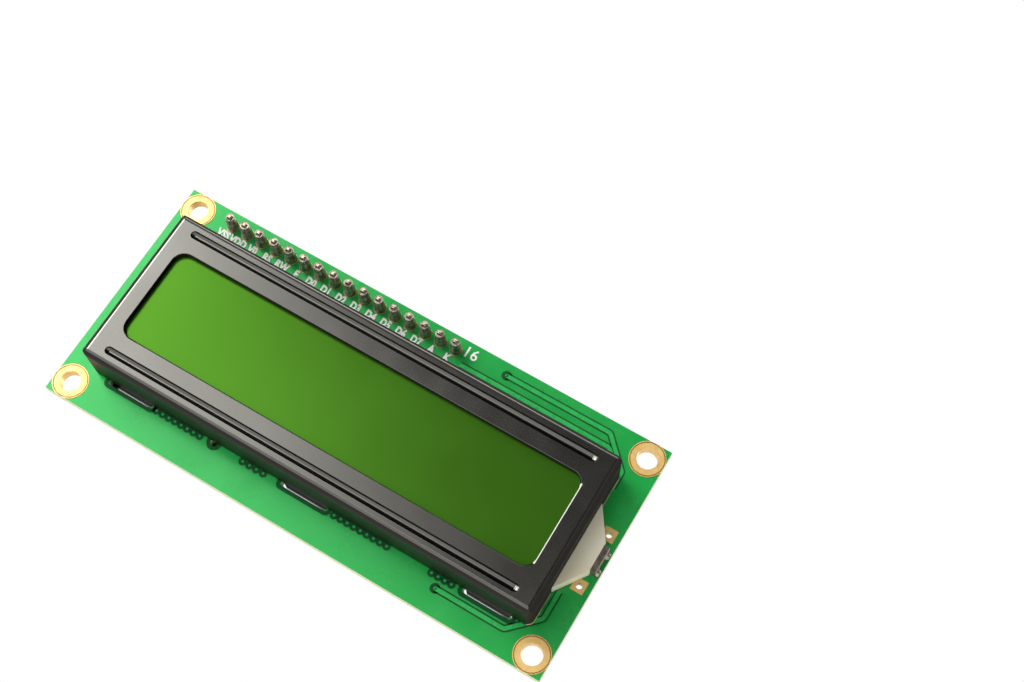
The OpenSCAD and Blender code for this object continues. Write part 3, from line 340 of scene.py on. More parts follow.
# Screened sealing resin.
SEAL_RESIN = Finish("cured_seal_resin", "#D6D3BE", "#C8C4AC", 0.55, drift=2, grain=0.1,
                    grain_height=0.004)
# Polyester film with a white coat.
WHITE_FILM = Finish("white_coated_film", "#F2F1EA", "#E8E7DF", 0.6, drift=6, grain=0.08,
                    grain_height=0.002)
# Moulded acrylic light guide, whitened on its faces: milky, and waxy at its edges.
GUIDE_ACRYLIC = Finish("moulded_milky_acrylic", "#FDF6DE", "#F8F0D2", 0.42, drift=4,
                       grain=0.3, grain_height=0.003, subsurface=0.12, edge=0.12)
# Layered conductive rubber, sliced.
CONTACT_RUBBER = Finish("layered_contact_rubber", "#D98A98", "#4A4347", 0.8, drift=0.4,
                        grain=0.1, grain_height=0.004, stretch=(1, 0.05, 0.05))
# The LED's small laminate carrier, seen from its rear.
LED_CARRIER = Finish("brown_led_carrier", "#6E6454", "#4A4236", 0.4, drift=0.7, grain=0.08,
                     grain_height=0.006, edge=0.06)
# Sawn silicon.
SILICON = Finish("sawn_silicon", "#7C7E88", "#6E707A", 0.3, metallic=0.4, drift=1)
# Epoxy that was dropped on warm and set to a smooth, faintly pitted dome.
BLACK_EPOXY = Finish("glob_top_epoxy", "#12110F", "#1C1A17", 0.2, coat=0.35, coat_roughness=0.06,
                     drift=3, grain=0.35, grain_height=0.006, polish_spread=0.06)
# Black nylon header strip, moulded with a fine mould texture.
BLACK_NYLON = Finish("moulded_black_nylon", "#161617", "#1F1F21", 0.42, drift=2, grain=0.09,
                     grain_height=0.005, edge=0.08)
# Jumper cap, moulded in charcoal polyester.
CHARCOAL_PLASTIC = Finish("moulded_charcoal_polyester", "#3D3D41", "#48484C", 0.42, drift=2,
                          grain=0.1, grain_height=0.005, edge=0.1)
# Trimmer housing, moulded in blue thermoset with a slight sheen.
BLUE_PLASTIC = Finish("moulded_blue_thermoset", "#2F86E6", "#3E92EE", 0.36, drift=3, grain=0.12,
                      grain_height=0.006, edge=0.1)
# Rotor, moulded in cream polyamide.
CREAM_PLASTIC = Finish("moulded_cream_polyamide", "#D9D0AC", "#C9BE97", 0.38, drift=0.8,
                       grain=0.1, grain_height=0.008, edge=0.06)
# Alumina disc, pressed and fired.
CERAMIC = Finish("fired_alumina", "#E6E0D2", "#DAD3C3", 0.6, drift=1.5, grain=0.08,
                 grain_height=0.004)
# Chip package, moulded in filled resin and eroded matt by the mould.
CHIP_RESIN = Finish("matt_moulded_chip_resin", "#3F3F42", "#4A4A4D", 0.6, drift=2.5, grain=0.07,
                    grain_height=0.012, edge=0.08)
# Legend ink, screened on the mask.
WHITE_INK = Finish("screened_white_ink", "#FDFDF6", "#F2F2EA", 0.6, drift=1.2, grain=0.12,
                   grain_height=0.004, slot="white_film")
# Marks moulded sunk into the trimmer's top, and inked.
DARK_INK = Finish("dark_blue_ink", "#0E2C5C", "#133565", 0.5, drift=0.6, grain=0.1,
                  grain_height=0.003, slot="blue_plastic")
# Black mask, screened and cured: nearly black, with a soft gloss and faint dust.
BLACK_MASK = Finish("black_solder_mask", "#141416", "#1B1B1E", 0.34, coat=0.35,
                    coat_roughness=0.2, drift=7, grain=0.5, grain_height=0.004)
# The mask's sawn edge: a pale line where the resin tore.
MASK_EDGE = Finish("sawn_mask_edge", "#6E6A58", "#857F69", 0.7, drift=1, grain=0.1,
                   grain_height=0.004, slot="black_solder_mask")
# Steel sheet, folded and blackened: a satin oxide that mirrors broad light softly.
BLACK_STEEL = Finish("satin_blackened_steel", "#65645F", "#6B6A65", 0.19, metallic=0.93,
                     drift=16, polish_spread=0.02)
# Thick-film resistor: a fired glass coat over the track, on white alumina.
GLAZE = Finish("fired_resistor_glaze", "#1C1B19", "#262420", 0.3, drift=0.8, grain=0.1,
               grain_height=0.004, coat=0.4)
# Multilayer capacitor: bare fired dielectric, tan.
DIELECTRIC = Finish("fired_dielectric", "#C98F5C", "#B87C4A", 0.5, drift=0.6, grain=0.08,
                    grain_height=0.004)
# Chip LED: clear resin over a yellow-white phosphor.
LED_LENS = Finish("cast_led_resin", "#F0F2DC", "#DDE4BE", 0.25, drift=0.5, grain=0.1,
                  grain_height=0.004, coat=0.6)


class Palette:
    """Makes each finish once and hands the same material to every piece that takes it."""

    def __init__(self) -> None:
        """Starts with no material made."""
        self.made: dict[str, bpy.types.Material] = {}

    def of(self, finish: Finish) -> bpy.types.Material:
        """Finds or makes the material of a finish.

        Args:
            finish: the finish.

        Returns:
            Its material.
        """
        if finish.name not in self.made:
            self.made[finish.name] = finish.material()
        return self.made[finish.name]


PALETTE = Palette()


def dress(finish: Finish, *nodes: str) -> None:
    """Gives a finish to whole nodes of the frame.

    Args:
        finish: the finish.
        nodes: the nodes' names.
    """
    for name in nodes:
        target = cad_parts[name]
        target.data.materials.clear()
        target.data.materials.append(PALETTE.of(finish))
        log.info("dressed %s in %s", name, finish.name)


def keep(piece: bpy.types.Object, finish: Finish) -> bpy.types.Object:
    """Fixes a finished piece to the module.

    Args:
        piece: the piece.
        finish: what it is finished in.

    Returns:
        The piece.
    """
    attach(piece, MAIN_BODY)
    log.info("made %s: %d faces, in %s", piece.name, len(piece.data.polygons), finish.name)
    return piece


def sawn(finish: Finish, node: str, side: str) -> Finish:
    """Adds the bare laminate that a board shows on its sawn sides and in its holes.

    Args:
        finish: the coat of mask on the board's two faces.
        node: the board.
        side: the colour of the laminate.

    Returns:
        The finish with its patch between the two coats.
    """
    skin = 0.03 * MM
    low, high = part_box(node)
    laminate = Patch(y=(low.y + skin, high.y - skin), colour=side, roughness=0.75)
    return replace(finish, patches=(laminate,))


# ---- flat work on the faces of the boards ----

class Turn(Enum):
    """Which way a word or a chip part runs on its face, in degrees anticlockwise."""

    ALONG = 0
    UP = 90


class Side(Enum):
    """Which way a face looks along Y."""

    FRONT = -1
    REAR = 1


@dataclass(frozen=True)
class Face:
    """A flat side of a board. It is drawn in millimetres, as seen from outside.

    Places are given in the board's own X and Z, and `level` is the face's Y in metres. On a
    rear face X runs to the left.
    """

    level: float
    side: Side

    def spot(self, x: float, z: float, lift: float = 0.0) -> Vector:
        """Returns a place on the drawing for a place on the board."""
        return Vector((-self.side.value * x, z, lift))

    def place(self) -> Matrix:
        """Stands the drawing up on its face.

        Returns:
            The turn, the scale to metres and the place, as one matrix.
        """
        out = self.side.value
        turn = Matrix(((-out, 0, 0), (0, 0, out), (0, 1, 0))).to_4x4()
        return Matrix.Translation((0, self.level, 0)) @ turn @ Matrix.Scale(MM, 4)


def rear_of(node: str) -> Face:
    """Returns the rear face of a node."""
    return Face(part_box(node)[1].y, Side.REAR)


def start_tree(numbers: dict[str, float]) -> tuple[bpy.types.NodeTree, bpy.types.Node]:
    """Starts a geometry tree with a named input for each size, and for the material.

    Args:
        numbers: each size's name and its default.

    Returns:
        The tree and its group input node.
    """
    tree = bpy.data.node_groups.new("flat_work", "GeometryNodeTree")
    tree.interface.new_socket("Geometry", in_out="OUTPUT", socket_type="NodeSocketGeometry")
    tree.interface.new_socket("Geometry", in_out="INPUT", socket_type="NodeSocketGeometry")
    for label, value in numbers.items():
        socket = tree.interface.new_socket(label, in_out="INPUT", socket_type="NodeSocketFloat")
        socket.default_value = value
    tree.interface.new_socket("Material", in_out="INPUT", socket_type="NodeSocketMaterial")
    return tree, tree.nodes.new("NodeGroupInput")


def close_tree(tree: bpy.types.NodeTree, start: bpy.types.Node,
               shape: bpy.types.NodeSocket) -> bpy.types.NodeTree:
    """Ends a geometry tree by making its instances real and giving them the material.

    Args:
        tree: the tree.
        start: its group input node.
        shape: the geometry that it has made.

    Returns:
        The tree.
    """
    real = add_node(tree, "GeometryNodeRealizeInstances", inputs={"Geometry": shape})
    coated = add_node(tree, "GeometryNodeSetMaterial",
                      inputs={"Geometry": real.outputs[0], "Material": start.outputs["Material"]})
    add_node(tree, "NodeGroupOutput", inputs={0: coated.outputs[0]})
    return tree


def strew(tree: bpy.types.NodeTree, start: bpy.types.Node, item: bpy.types.Node,
          **links: bpy.types.NodeSocket) -> bpy.types.NodeTree:
    """Ends a geometry tree by laying its item at every point of the drawing.

    Args:
        tree: the tree.
        start: its group input node.
        item: the node that makes the item.
        links: what sets each copy's Rotation and Scale.

    Returns:
        The tree.
    """
    laid = add_node(tree, "GeometryNodeInstanceOnPoints", inputs={
        "Points": start.outputs["Geometry"], "Instance": item.outputs[0], **links})
    return close_tree(tree, start, laid.outputs[0])


def ribbon_tree() -> bpy.types.NodeTree:
    """Sweeps a flat bar along every line of a drawing, with its corners rounded.

    Returns:
        The geometry tree.
    """
    tree, start = start_tree({"Width": 0.3, "Height": 0.02, "Corner": 0.0})
    lines = add_node(tree, "GeometryNodeMeshToCurve", inputs={"Mesh": start.outputs["Geometry"]})
    soft = add_node(tree, "GeometryNodeFilletCurve", {"mode": "POLY"}, {
        "Curve": lines.outputs[0], "Count": 3, "Radius": start.outputs["Corner"],
        "Limit Radius": True})
    level = add_node(tree, "GeometryNodeSetCurveNormal", {"mode": "Z_UP"},
                     {"Curve": soft.outputs[0]})
    bar = add_node(tree, "GeometryNodeCurvePrimitiveQuadrilateral", inputs={
        "Width": start.outputs["Width"], "Height": start.outputs["Height"]})
    swept = add_node(tree, "GeometryNodeCurveToMesh", inputs={
        "Curve": level.outputs[0], "Profile Curve": bar.outputs[0], "Fill Caps": True})
    return close_tree(tree, start, swept.outputs[0])


def ring_tree() -> bpy.types.NodeTree:
    """Puts a flat ring at every point of a drawing.

    Returns:
        The geometry tree.
    """
    tree, start = start_tree({"Radius": 0.5, "Width": 0.2, "Height": 0.03})
    circle = add_node(tree, "GeometryNodeCurvePrimitiveCircle",
                      inputs={"Resolution": 20, "Radius": start.outputs["Radius"]})
    bar = add_node(tree, "GeometryNodeCurvePrimitiveQuadrilateral", inputs={
        "Width": start.outputs["Width"], "Height": start.outputs["Height"]})
    ring = add_node(tree, "GeometryNodeCurveToMesh", inputs={
        "Curve": circle.outputs[0], "Profile Curve": bar.outputs[0]})
    return strew(tree, start, ring)


def disc_tree() -> bpy.types.NodeTree:
    """Puts a flat disc at every point of a drawing.

    Returns:
        The geometry tree.
    """
    tree, start = start_tree({"Radius": 0.3, "Height": 0.02})
    disc = add_node(tree, "GeometryNodeMeshCylinder", inputs={
        "Vertices": 16, "Radius": start.outputs["Radius"], "Depth": start.outputs["Height"]})
    return strew(tree, start, disc)


def drop_tree() -> bpy.types.NodeTree:
    """Puts a soft-cornered drop of solder at every point, of the size and turn stored there.

    Returns:
        The geometry tree.
    """
    tree, start = start_tree({})
    block = add_node(tree, "GeometryNodeMeshCube", inputs={"Size": (1.0, 1.0, 1.0)})
    drop = add_node(tree, "GeometryNodeSubdivisionSurface",
                    inputs={"Mesh": block.outputs[0], "Level": 2})
    size = add_node(tree, "GeometryNodeInputNamedAttribute", {"data_type": "FLOAT_VECTOR"},
                    {"Name": "size"})
    turn = add_node(tree, "GeometryNodeInputNamedAttribute", {"data_type": "FLOAT"},
                    {"Name": "turn"})
    about = add_node(tree, "ShaderNodeCombineXYZ", inputs={"Z": turn.outputs[0]})
    return strew(tree, start, drop, Rotation=about.outputs[0], Scale=size.outputs[0])


def spoke_tree() -> bpy.types.NodeTree:
    """Lays bars like the marks of a clock round every point of a drawing.

    Returns:
        The geometry tree.
    """
    tree, start = start_tree({"Count": 16.0, "Radius": 2.2, "Length": 0.6, "Width": 0.12,
                              "Height": 0.02})
    circle = add_node(tree, "GeometryNodeCurvePrimitiveCircle", inputs={
        "Resolution": start.outputs["Count"], "Radius": start.outputs["Radius"]})
    marks = add_node(tree, "GeometryNodeCurveToPoints", {"mode": "EVALUATED"},
                     {"Curve": circle.outputs[0]})
    size = add_node(tree, "ShaderNodeCombineXYZ", inputs={
        "X": start.outputs["Width"], "Y": start.outputs["Length"], "Z": start.outputs["Height"]})
    bar = add_node(tree, "GeometryNodeMeshCube", inputs={"Size": size.outputs[0]})
    clock = add_node(tree, "GeometryNodeInstanceOnPoints", inputs={
        "Points": marks.outputs["Points"], "Instance": bar.outputs[0],
        "Rotation": marks.outputs["Rotation"]})
    return strew(tree, start, clock)


class Shape(Enum):
    """What a geometry tree can lay on a face."""

    RIBBON = "ribbon"
    RING = "ring"
    DISC = "disc"
    DROP = "drop"
    SPOKES = "spokes"


TREE_MAKERS: dict[Shape, Callable[[], bpy.types.NodeTree]] = {
    Shape.RIBBON: ribbon_tree, Shape.RING: ring_tree, Shape.DISC: disc_tree,
    Shape.DROP: drop_tree, Shape.SPOKES: spoke_tree}


def baked(holder: bpy.types.Object) -> bpy.types.Mesh:
    """Turns what an object's modifiers or text make into a plain mesh, and removes the object.

    Args:
        holder: the object, not yet in the scene.

    Returns:
        The mesh.
    """
    bpy.context.scene.collection.objects.link(holder)
    graph = bpy.context.evaluated_depsgraph_get()
    mesh = bpy.data.meshes.new_from_object(holder.evaluated_get(graph), depsgraph=graph)
    bpy.data.objects.remove(holder)
    return mesh


@dataclass(frozen=True)
class Drop:
    """A drop of solder: its middle, its size along, across and off the face, and its turn."""

    x: float
    z: float
    size: tuple[float, float, float]
    lift: float = 0.0
    turn: Turn = Turn.ALONG


@dataclass(frozen=True)
class Word:
    """A word of the legend: its text, the place of its middle, and its capitals' height.

    `narrow` squeezes the letters, and `weight` thickens their strokes by a share of the height.
    """

    text: str
    x: float
    z: float
    tall: float
    turn: Turn = Turn.ALONG
    narrow: float = 1.0
    weight: float = 0.035

    def mesh(self, height: float) -> bpy.types.Mesh:
        """Cuts the word out of a sheet.

        Args:
            height: the sheet's thickness in millimetres.

        Returns:
            The word as a closed mesh about the origin, in millimetres.
        """
        cap_share = 0.7
        curve = bpy.data.curves.new(f"word.{self.text}", "FONT")
        curve.body = self.text
        curve.size = self.tall / cap_share
        curve.offset = self.weight * self.tall
        curve.extrude = height / 2
        curve.resolution_u = 2
        curve.align_x, curve.align_y = "CENTER", "CENTER"
        mesh = baked(bpy.data.objects.new("word", curve))
        bpy.data.curves.remove(curve)
        mesh.transform(Matrix.Diagonal((self.narrow, 1, 1, 1)))
        return mesh


@dataclass
class Printer:
    """Lays flat work on one face: ribbons, stamps, drops, patches and words."""

    face: Face
    trees: dict[Shape, bpy.types.NodeTree] = field(default_factory=dict)

    def grow(self, name: str, source: bpy.types.Mesh, shape: Shape, values: dict[str, float],
             finish: Finish) -> bpy.types.Object:
        """Runs a geometry tree once and keeps the result as a plain mesh in its place.

        Args:
            name: the new piece's name.
            source: the points or lines that the tree starts from, in millimetres.
            shape: what the tree lays on them.
            values: the tree's named inputs.
            finish: what the piece is finished in.

        Returns:
            The piece.
        """
        if shape not in self.trees:
            self.trees[shape] = TREE_MAKERS[shape]()
        tree = self.trees[shape]
        settings: dict[str, Any] = {**values, "Material": PALETTE.of(finish)}
        holder = bpy.data.objects.new(f"{name}.drawing", source)
        modifier = holder.modifiers.new("grow", "NODES")
        modifier.node_group = tree
        for socket in tree.interface.items_tree:
            if socket.in_out == "INPUT" and socket.name in settings:
                modifier[socket.identifier] = settings[socket.name]
        mesh = baked(holder)
        mesh.transform(self.face.place())
        mesh.shade_flat()
        mesh.name = name
        return keep(placed(name, mesh), finish)

    def ribbons(self, name: str, lines: Iterable[Line], width: float, height: float,
                finish: Finish, corner: float = 0.0) -> bpy.types.Object:
        """Lays flat bars along lines. A line whose ends meet is closed.

        Args:
            name: the piece's name.
            lines: each line's points.
            width: the bars' width.
            height: how far they stand off the face.
            finish: what they are finished in.
            corner: the radius of their corners.

        Returns:
            The piece.
        """
        points: list[Vector] = []
        edges: list[tuple[int, int]] = []
        for line in lines:
            closed = tuple(line[0]) == tuple(line[-1])
            stops = line[:-1] if closed else line
            first = len(points)
            points += [self.face.spot(x, z, height / 2) for x, z in stops]
            edges += [(i, i + 1) for i in range(first, len(points) - 1)]
            if closed:
                edges.append((len(points) - 1, first))
        mesh = bpy.data.meshes.new(f"{name}.lines")
        mesh.from_pydata(points, edges, [])
        values = {"Width": width, "Height": height, "Corner": corner}
        return self.grow(name, mesh, Shape.RIBBON, values, finish)

    def stamps(self, name: str, shape: Shape, places: Iterable[Point], finish: Finish,
               **values: float) -> bpy.types.Object:
        """Lays a ring, a disc or spokes at every place.

        Args:
            name: the piece's name.
            shape: what is laid.
            places: the middles.
            finish: what they are finished in.
            values: the tree's inputs by name.

        Returns:
            The piece.
        """
        mesh = bpy.data.meshes.new(f"{name}.points")
        mesh.from_pydata([self.face.spot(x, z) for x, z in places], [], [])
        return self.grow(name, mesh, shape, values, finish)

    def drops(self, name: str, drops: Sequence[Drop], finish: Finish) -> bpy.types.Object:
        """Lays drops of solder, each of its own size and turn.

        Args:
            name: the piece's name.
            drops: the drops.
            finish: the solder.

        Returns:
            The piece.
        """
        mesh = bpy.data.meshes.new(f"{name}.points")
        mesh.from_pydata([self.face.spot(d.x, d.z, d.lift) for d in drops], [], [])
        size = mesh.attributes.new("size", "FLOAT_VECTOR", "POINT")
        turn = mesh.attributes.new("turn", "FLOAT", "POINT")
        for i, drop in enumerate(drops):
            size.data[i].vector = drop.size
            turn.data[i].value = math.radians(drop.turn.value)
        piece = self.grow(name, mesh, Shape.DROP, {}, finish)
        piece.data.shade_smooth()
        return piece

    def lay(self, name: str, points: list[Vector], faces: list[list[int]],
            finish: Finish) -> bpy.types.Object:
        """Lays a mesh that was drawn face by face.

        Args:
            name: the piece's name.
            points: its corners on the drawing.
            faces: the corners of each face.
            finish: what it is finished in.

        Returns:
            The piece.
        """
        mesh = bpy.data.meshes.new(name)
        mesh.from_pydata(points, [], faces)
        mesh.materials.append(PALETTE.of(finish))
        mesh.transform(self.face.place())
        return keep(placed(name, mesh), finish)

    def patches(self, name: str, outlines: Iterable[Line], height: float,
                finish: Finish) -> bpy.types.Object:
        """Lays thin slabs.

        Args:
            name: the piece's name.
            outlines: the corners of each slab.
            height: the slabs' thickness.
            finish: what they are finished in.

        Returns:
            The piece.
        """
        points: list[Vector] = []
        faces: list[list[int]] = []
        for outline in outlines:
            ring = [self.face.spot(x, z) for x, z in outline]
            if sum(a.x * b.y - b.x * a.y for a, b in zip(ring, ring[1:] + ring[:1])) < 0:
                ring.reverse()
            base, count = len(points), len(ring)
            points += ring + [p + Vector((0, 0, height)) for p in ring]
            low, high = range(base, base + count), range(base + count, base + 2 * count)
            faces += [list(reversed(low)), list(high)]
            faces += [[low[i], low[(i + 1) % count], high[(i + 1) % count], high[i]]
                      for i in range(count)]
        return self.lay(name, points, faces, finish)

    def words(self, name: str, words: Sequence[Word], height: float, finish: Finish,
              lift: float = 0.0) -> bpy.types.Object:
        """Lays words, all as one mesh with a thickness.

        Args:
            name: the piece's name.
            words: the words.
            height: their thickness.
            finish: the ink.
            lift: how far off the face their underside lies.

        Returns:
            The piece.
        """
        points: list[Vector] = []
        faces: list[list[int]] = []
        for word in words:
            mesh = word.mesh(height)
            turn = Matrix.Translation(self.face.spot(word.x, word.z, lift + height / 2))
            mesh.transform(turn @ Matrix.Rotation(math.radians(word.turn.value), 4, "Z"))
            base = len(points)
            points += [v.co.copy() for v in mesh.vertices]
            faces += [[base + i for i in p.vertices] for p in mesh.polygons]
            bpy.data.meshes.remove(mesh)
        return self.lay(name, points, faces, finish)


def boxed(x: float, z: float, length: float, width: float) -> list[Point]:
    """Returns a closed rectangle about a middle."""
    a, b = length / 2, width / 2
    return [(x - a, z - b), (x + a, z - b), (x + a, z + b), (x - a, z + b), (x - a, z - b)]


def corners(x: float, z: float, length: float, width: float, leg: float,
            upright: bool = False) -> list[list[Point]]:
    """Draws the two brackets that stand round a part, open along its middle.

    Args:
        x: the X of the part's middle.
        z: the Z of its middle.
        length: the brackets' reach along the part.
        width: their reach across it.
        leg: how far from the middle each bracket's legs end.
        upright: whether the part runs along Z.

    Returns:
        The two lines.
    """
    a, b = length / 2, width / 2
    ends = [[(s * leg, -b), (s * a, -b), (s * a, b), (s * leg, b)] for s in (-1, 1)]
    return [[(x + v, z + u) if upright else (x + u, z + v) for u, v in end] for end in ends]


def dogleg(start: Point, end: Point, upright_first: bool) -> list[Point]:
    """Draws a track that runs straight and then at 45 degrees to its end.

    Args:
        start: where the track starts.
        end: where it ends.
        upright_first: whether the straight run goes along Z rather than along X.

    Returns:
        The track's three points.
    """
    (x1, z1), (x2, z2) = start, end
    dx, dz = x2 - x1, z2 - z1
    slant = min(abs(dx), abs(dz))
    if upright_first:
        return [start, (x1, z2 - math.copysign(slant, dz)), end]
    return [start, (x2 - math.copysign(slant, dx), z1), end]


def steps(first: float, last: float, count: int) -> list[float]:
    """Returns evenly spaced numbers from the first to the last."""
    return [first + (last - first) * i / (count - 1) for i in range(count)]


@dataclass
class TrackWork:
    """Tracks under the mask of one face, each in its own dark gap, and the vias they end at."""

    printer: Printer
    gap_height: float = 0.012
    track_height: float = 0.035
    clearing: float = 1.5
    pad: float = 0.44

    def name(self, what: str) -> str:
        """Returns a piece's name, which starts with the side that the face is on."""
        return f"{self.printer.face.side.name.lower()}_{what}"

    def lay(self, name: str, lines: Sequence[Line], width: float, gap: float,
            corner: float = 0.2) -> None:
        """Lays tracks of one width.

        Args:
            name: what the tracks are called.
            lines: their points.
            width: their width.
            gap: the width of the dark gap on either side.
            corner: the radius of their corners.
        """
        self.printer.ribbons(self.name(f"{name}_gaps"), lines, width + 2 * gap,
                             self.gap_height, DARK_MASK, corner)
        self.printer.ribbons(self.name(f"{name}_tracks"), lines, width,
                             self.track_height, TRACK_MASK, corner)

    def vias(self, name: str, places: Sequence[Point], radius: float) -> None:
        """Lays vias that the mask covers: a dark gap round a raised pad.

        Args:
            name: what the vias are called.
            places: their middles.
            radius: the radius that the gap and the pad are shares of.
        """
        self.printer.stamps(self.name(f"{name}_clearings"), Shape.DISC, places, DARK_MASK,
                            Radius=radius * self.clearing, Height=2 * self.gap_height)
        self.printer.stamps(self.name(f"{name}_vias"), Shape.DISC, places, TRACK_MASK,
                            Radius=radius * self.pad, Height=2 * self.track_height)


# ---- sub-assemblies ----

@dataclass
class LcdBoard:
    """The green board: mask, plating, tracks and legend on both of its faces."""

    pin_pitch: float = 2.54
    pin_names: tuple[str, ...] = ("VSS", "VDD", "V0", "RS", "RW", "E", "D0", "D1", "D2", "D3",
                                  "D4", "D5", "D6", "D7", "A", "K")
    name_shift: float = -0.6
    name_z: float = 14.2
    name_tall: float = 1.15
    legend: float = 0.045
    stroke: float = 0.22
    mount_x: float = 37.5
    rim_width: float = 0.15
    rim_height: float = 0.16
    laminate: str = "#D9DCB4"
    front_gold: str = "#F0C47C"
    index_hole: Point = (-14.9, -12.7)
    row_z: float = -12.95
    row_runs: tuple[tuple[float, float, int], ...] = (
        (-24.5, -17.2, 8), (-10, -6.6, 4), (5, 13.4, 9), (20.5, 23.6, 4))
    slot_x: tuple[float, ...] = (-29, 0, 29)
    slot_z: tuple[float, ...] = (-12.4, 11.5)
    fan_z: float = -12.5
    near_fan: tuple[float, ...] = (23.6, 22.3, 21.0, 13.8, 12.3, 11.0, 9.7, 8.5, 7.0, 5.7)
    far_fan: tuple[float, ...] = (-5.5, -6.9, -8.2, -9.4, -17.1, -18.3, -19.6, -21.0, -22.3, -23.6)

    def build(self) -> None:
        """Dresses the board and lays everything on its two faces."""
        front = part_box("lcd_board")[0].y
        dress(sawn(GREEN_MASK, "lcd_board", self.laminate), "lcd_board")
        dress(GOLD_PLATE, "mounting_rings")
        bright = Patch(y=(-FAR, front), colour=self.front_gold, metallic=0.45)
        dress(replace(LAND_GOLD, patches=(bright,)), "board_lands")
        self.front(Printer(Face(front, Side.FRONT)))
        self.rear(Printer(rear_of("lcd_board")))

    def front(self, printer: Printer) -> None:
        """Lays the tracks and the legend that show beside the bezel.

        Args:
            printer: lays work on the front face.
        """
        work = TrackWork(printer)
        work.lay("edge", [
            [(14.7, 16.2), (31.3, 16.2), (35.4, 12.1), (35.4, 9.5)],
            [(8.2, 14.3), (32.2, 14.3), (34.6, 11.9), (34.6, 9.5)],
            [(22, -14.5), (32.6, -14.5), (36.4, -10.7), (36.4, -6.5)],
        ], 0.6, 0.22, corner=0.6)
        work.vias("row", [(x, self.row_z) for run in self.row_runs for x in steps(*run)], 0.4)
        work.vias("ends", [(14.7, 16.2), (22, -14.5)], 0.5)
        printer.stamps("front_index_gap", Shape.RING, [self.index_hole], DARK_MASK,
                       Radius=0.88, Width=0.5, Height=2 * work.gap_height)
        self.rims(printer)
        slots = [boxed(x, z, 8.2, 2.0) for x in self.slot_x for z in self.slot_z]
        printer.ribbons("front_slot_gaps", slots, 0.6, work.gap_height, DARK_MASK, corner=0.5)
        first = self.first_pin() + self.name_shift
        words = [Word(name, first + i * self.pin_pitch, self.name_z, self.name_tall, narrow=0.8,
                      weight=0.075) for i, name in enumerate(self.pin_names)]
        words.append(Word("16", 8.7, 16.4, 1.65, weight=0.015))
        printer.words("front_legend", words, self.legend, WHITE_INK)

    def rims(self, printer: Printer) -> None:
        """Lays the line where the mask meets each mounting ring.

        Args:
            printer: lays work on either face.
        """
        low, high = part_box("mounting_rings")
        reach = (high - low) / (2 * MM)
        radius = reach.x - self.mount_x
        places = [(sx * self.mount_x, sz * (reach.z - radius)) for sx in (-1, 1) for sz in (-1, 1)]
        printer.stamps(f"{printer.face.side.name.lower()}_ring_rims", Shape.RING, places, RING_RIM,
                       Radius=radius - 0.07, Width=self.rim_width, Height=self.rim_height)

    def first_pin(self) -> float:
        """Returns the X of the first pin, in millimetres."""
        return centre_of("header_pins").x / MM - self.pin_pitch * (len(self.pin_names) - 1) / 2

    def rear(self, printer: Printer) -> None:
        """Lays the dense tracks, the vias and the legend of the rear.

        Args:
            printer: lays work on the rear face.
        """
        printer.stamps("rear_index_tent", Shape.DISC, [self.index_hole], DARK_MASK,
                       Radius=0.95, Height=0.06)
        self.rims(printer)
        self.rear_tracks(TrackWork(printer))
        self.rear_legend(printer)

    def rear_tracks(self, work: TrackWork) -> None:
        """Lays the tracks that fan out from the two chips.

        Args:
            work: lays tracks on the rear face.
        """
        work.printer.patches("rear_clearings", [
            [(24.8, 8.3), (9.5, 8.3), (8.2, 6.6), (8.2, -5), (3.9, -9), (3.9, -13.1),
             (14.5, -13.1), (12.2, -10), (20.2, -10), (20.2, -13.1), (24.8, -13.1)],
            [(8.2, 6.6), (8.2, -5), (3.9, -9), (3.6, -8.6), (-3.8, -8.6), (-3.8, 6.6)],
            [(-3.8, 6.6), (-3.8, -13.1), (-10, -13.1), (-10.2, -9.4), (-16.3, -9.4),
             (-16.6, -13.1), (-24.5, -13.1), (-24.5, -8.3), (-19.4, -4), (-19.4, 6.6)],
        ], work.gap_height / 2, DARK_MASK)
        work.lay("border", self.border(), 0.5, 0.26, corner=0.7)
        fan = [dogleg((x, self.fan_z), (17.4 - 0.55 * i, -4.6 - 0.12 * i), True)
               for i, x in enumerate(self.near_fan)]
        fan += [dogleg((x, self.fan_z), (-9.2 - 0.62 * i, -6.4), True)
                for i, x in enumerate(self.far_fan)]
        work.lay("fan", fan, 0.24, 0.1)
        side = [(21.2 + 0.95 * (i % 3), z) for i, z in enumerate(steps(7.4, -4.9, 12))]
        work.lay("side", [dogleg(spot, (18.3, 4.6 - 0.7 * i), False)
                          for i, spot in enumerate(side)], 0.22, 0.1)
        drops = [0.42 * i for i in range(9)]
        work.lay("bus", [[(11.5 - 0.1 * i, -3.2 - drop), (6.4 - drop, -3.2 - drop),
                          (1.6 - drop, 1.6 - drop), (-6.5, 1.6 - drop)]
                         for i, drop in enumerate(drops)], 0.22, 0.1)
        work.vias("bottom", [(x, self.fan_z) for x in self.near_fan + self.far_fan], 0.34)
        work.vias("side", side, 0.34)
        work.vias("scattered", [
            (-3.4, -9.1), (-4.9, -8.2), (-6.4, -7.9), (-18.4, -2.9), (-19.1, -4.6),
            (-18.9, -6.2), (-36.2, 1.8), (15.4, 15.9), (12.6, 15.2), (25.4, 6.1)], 0.42)
        work.lay("links", [
            [(-36.2, 1.8), (-36.2, 5.2), (-34.6, 6.8), (-34.6, 13.4)],
            [(15.4, 15.9), (13.3, 13.8), (10.5, 13.8)],
            [(12.6, 15.2), (9.0, 15.2)],
            [(30.75, 4.2), (28.15, 1.6)], [(30.75, 2.4), (28.15, -0.2)],
        ], 0.4, 0.2, corner=0.3)

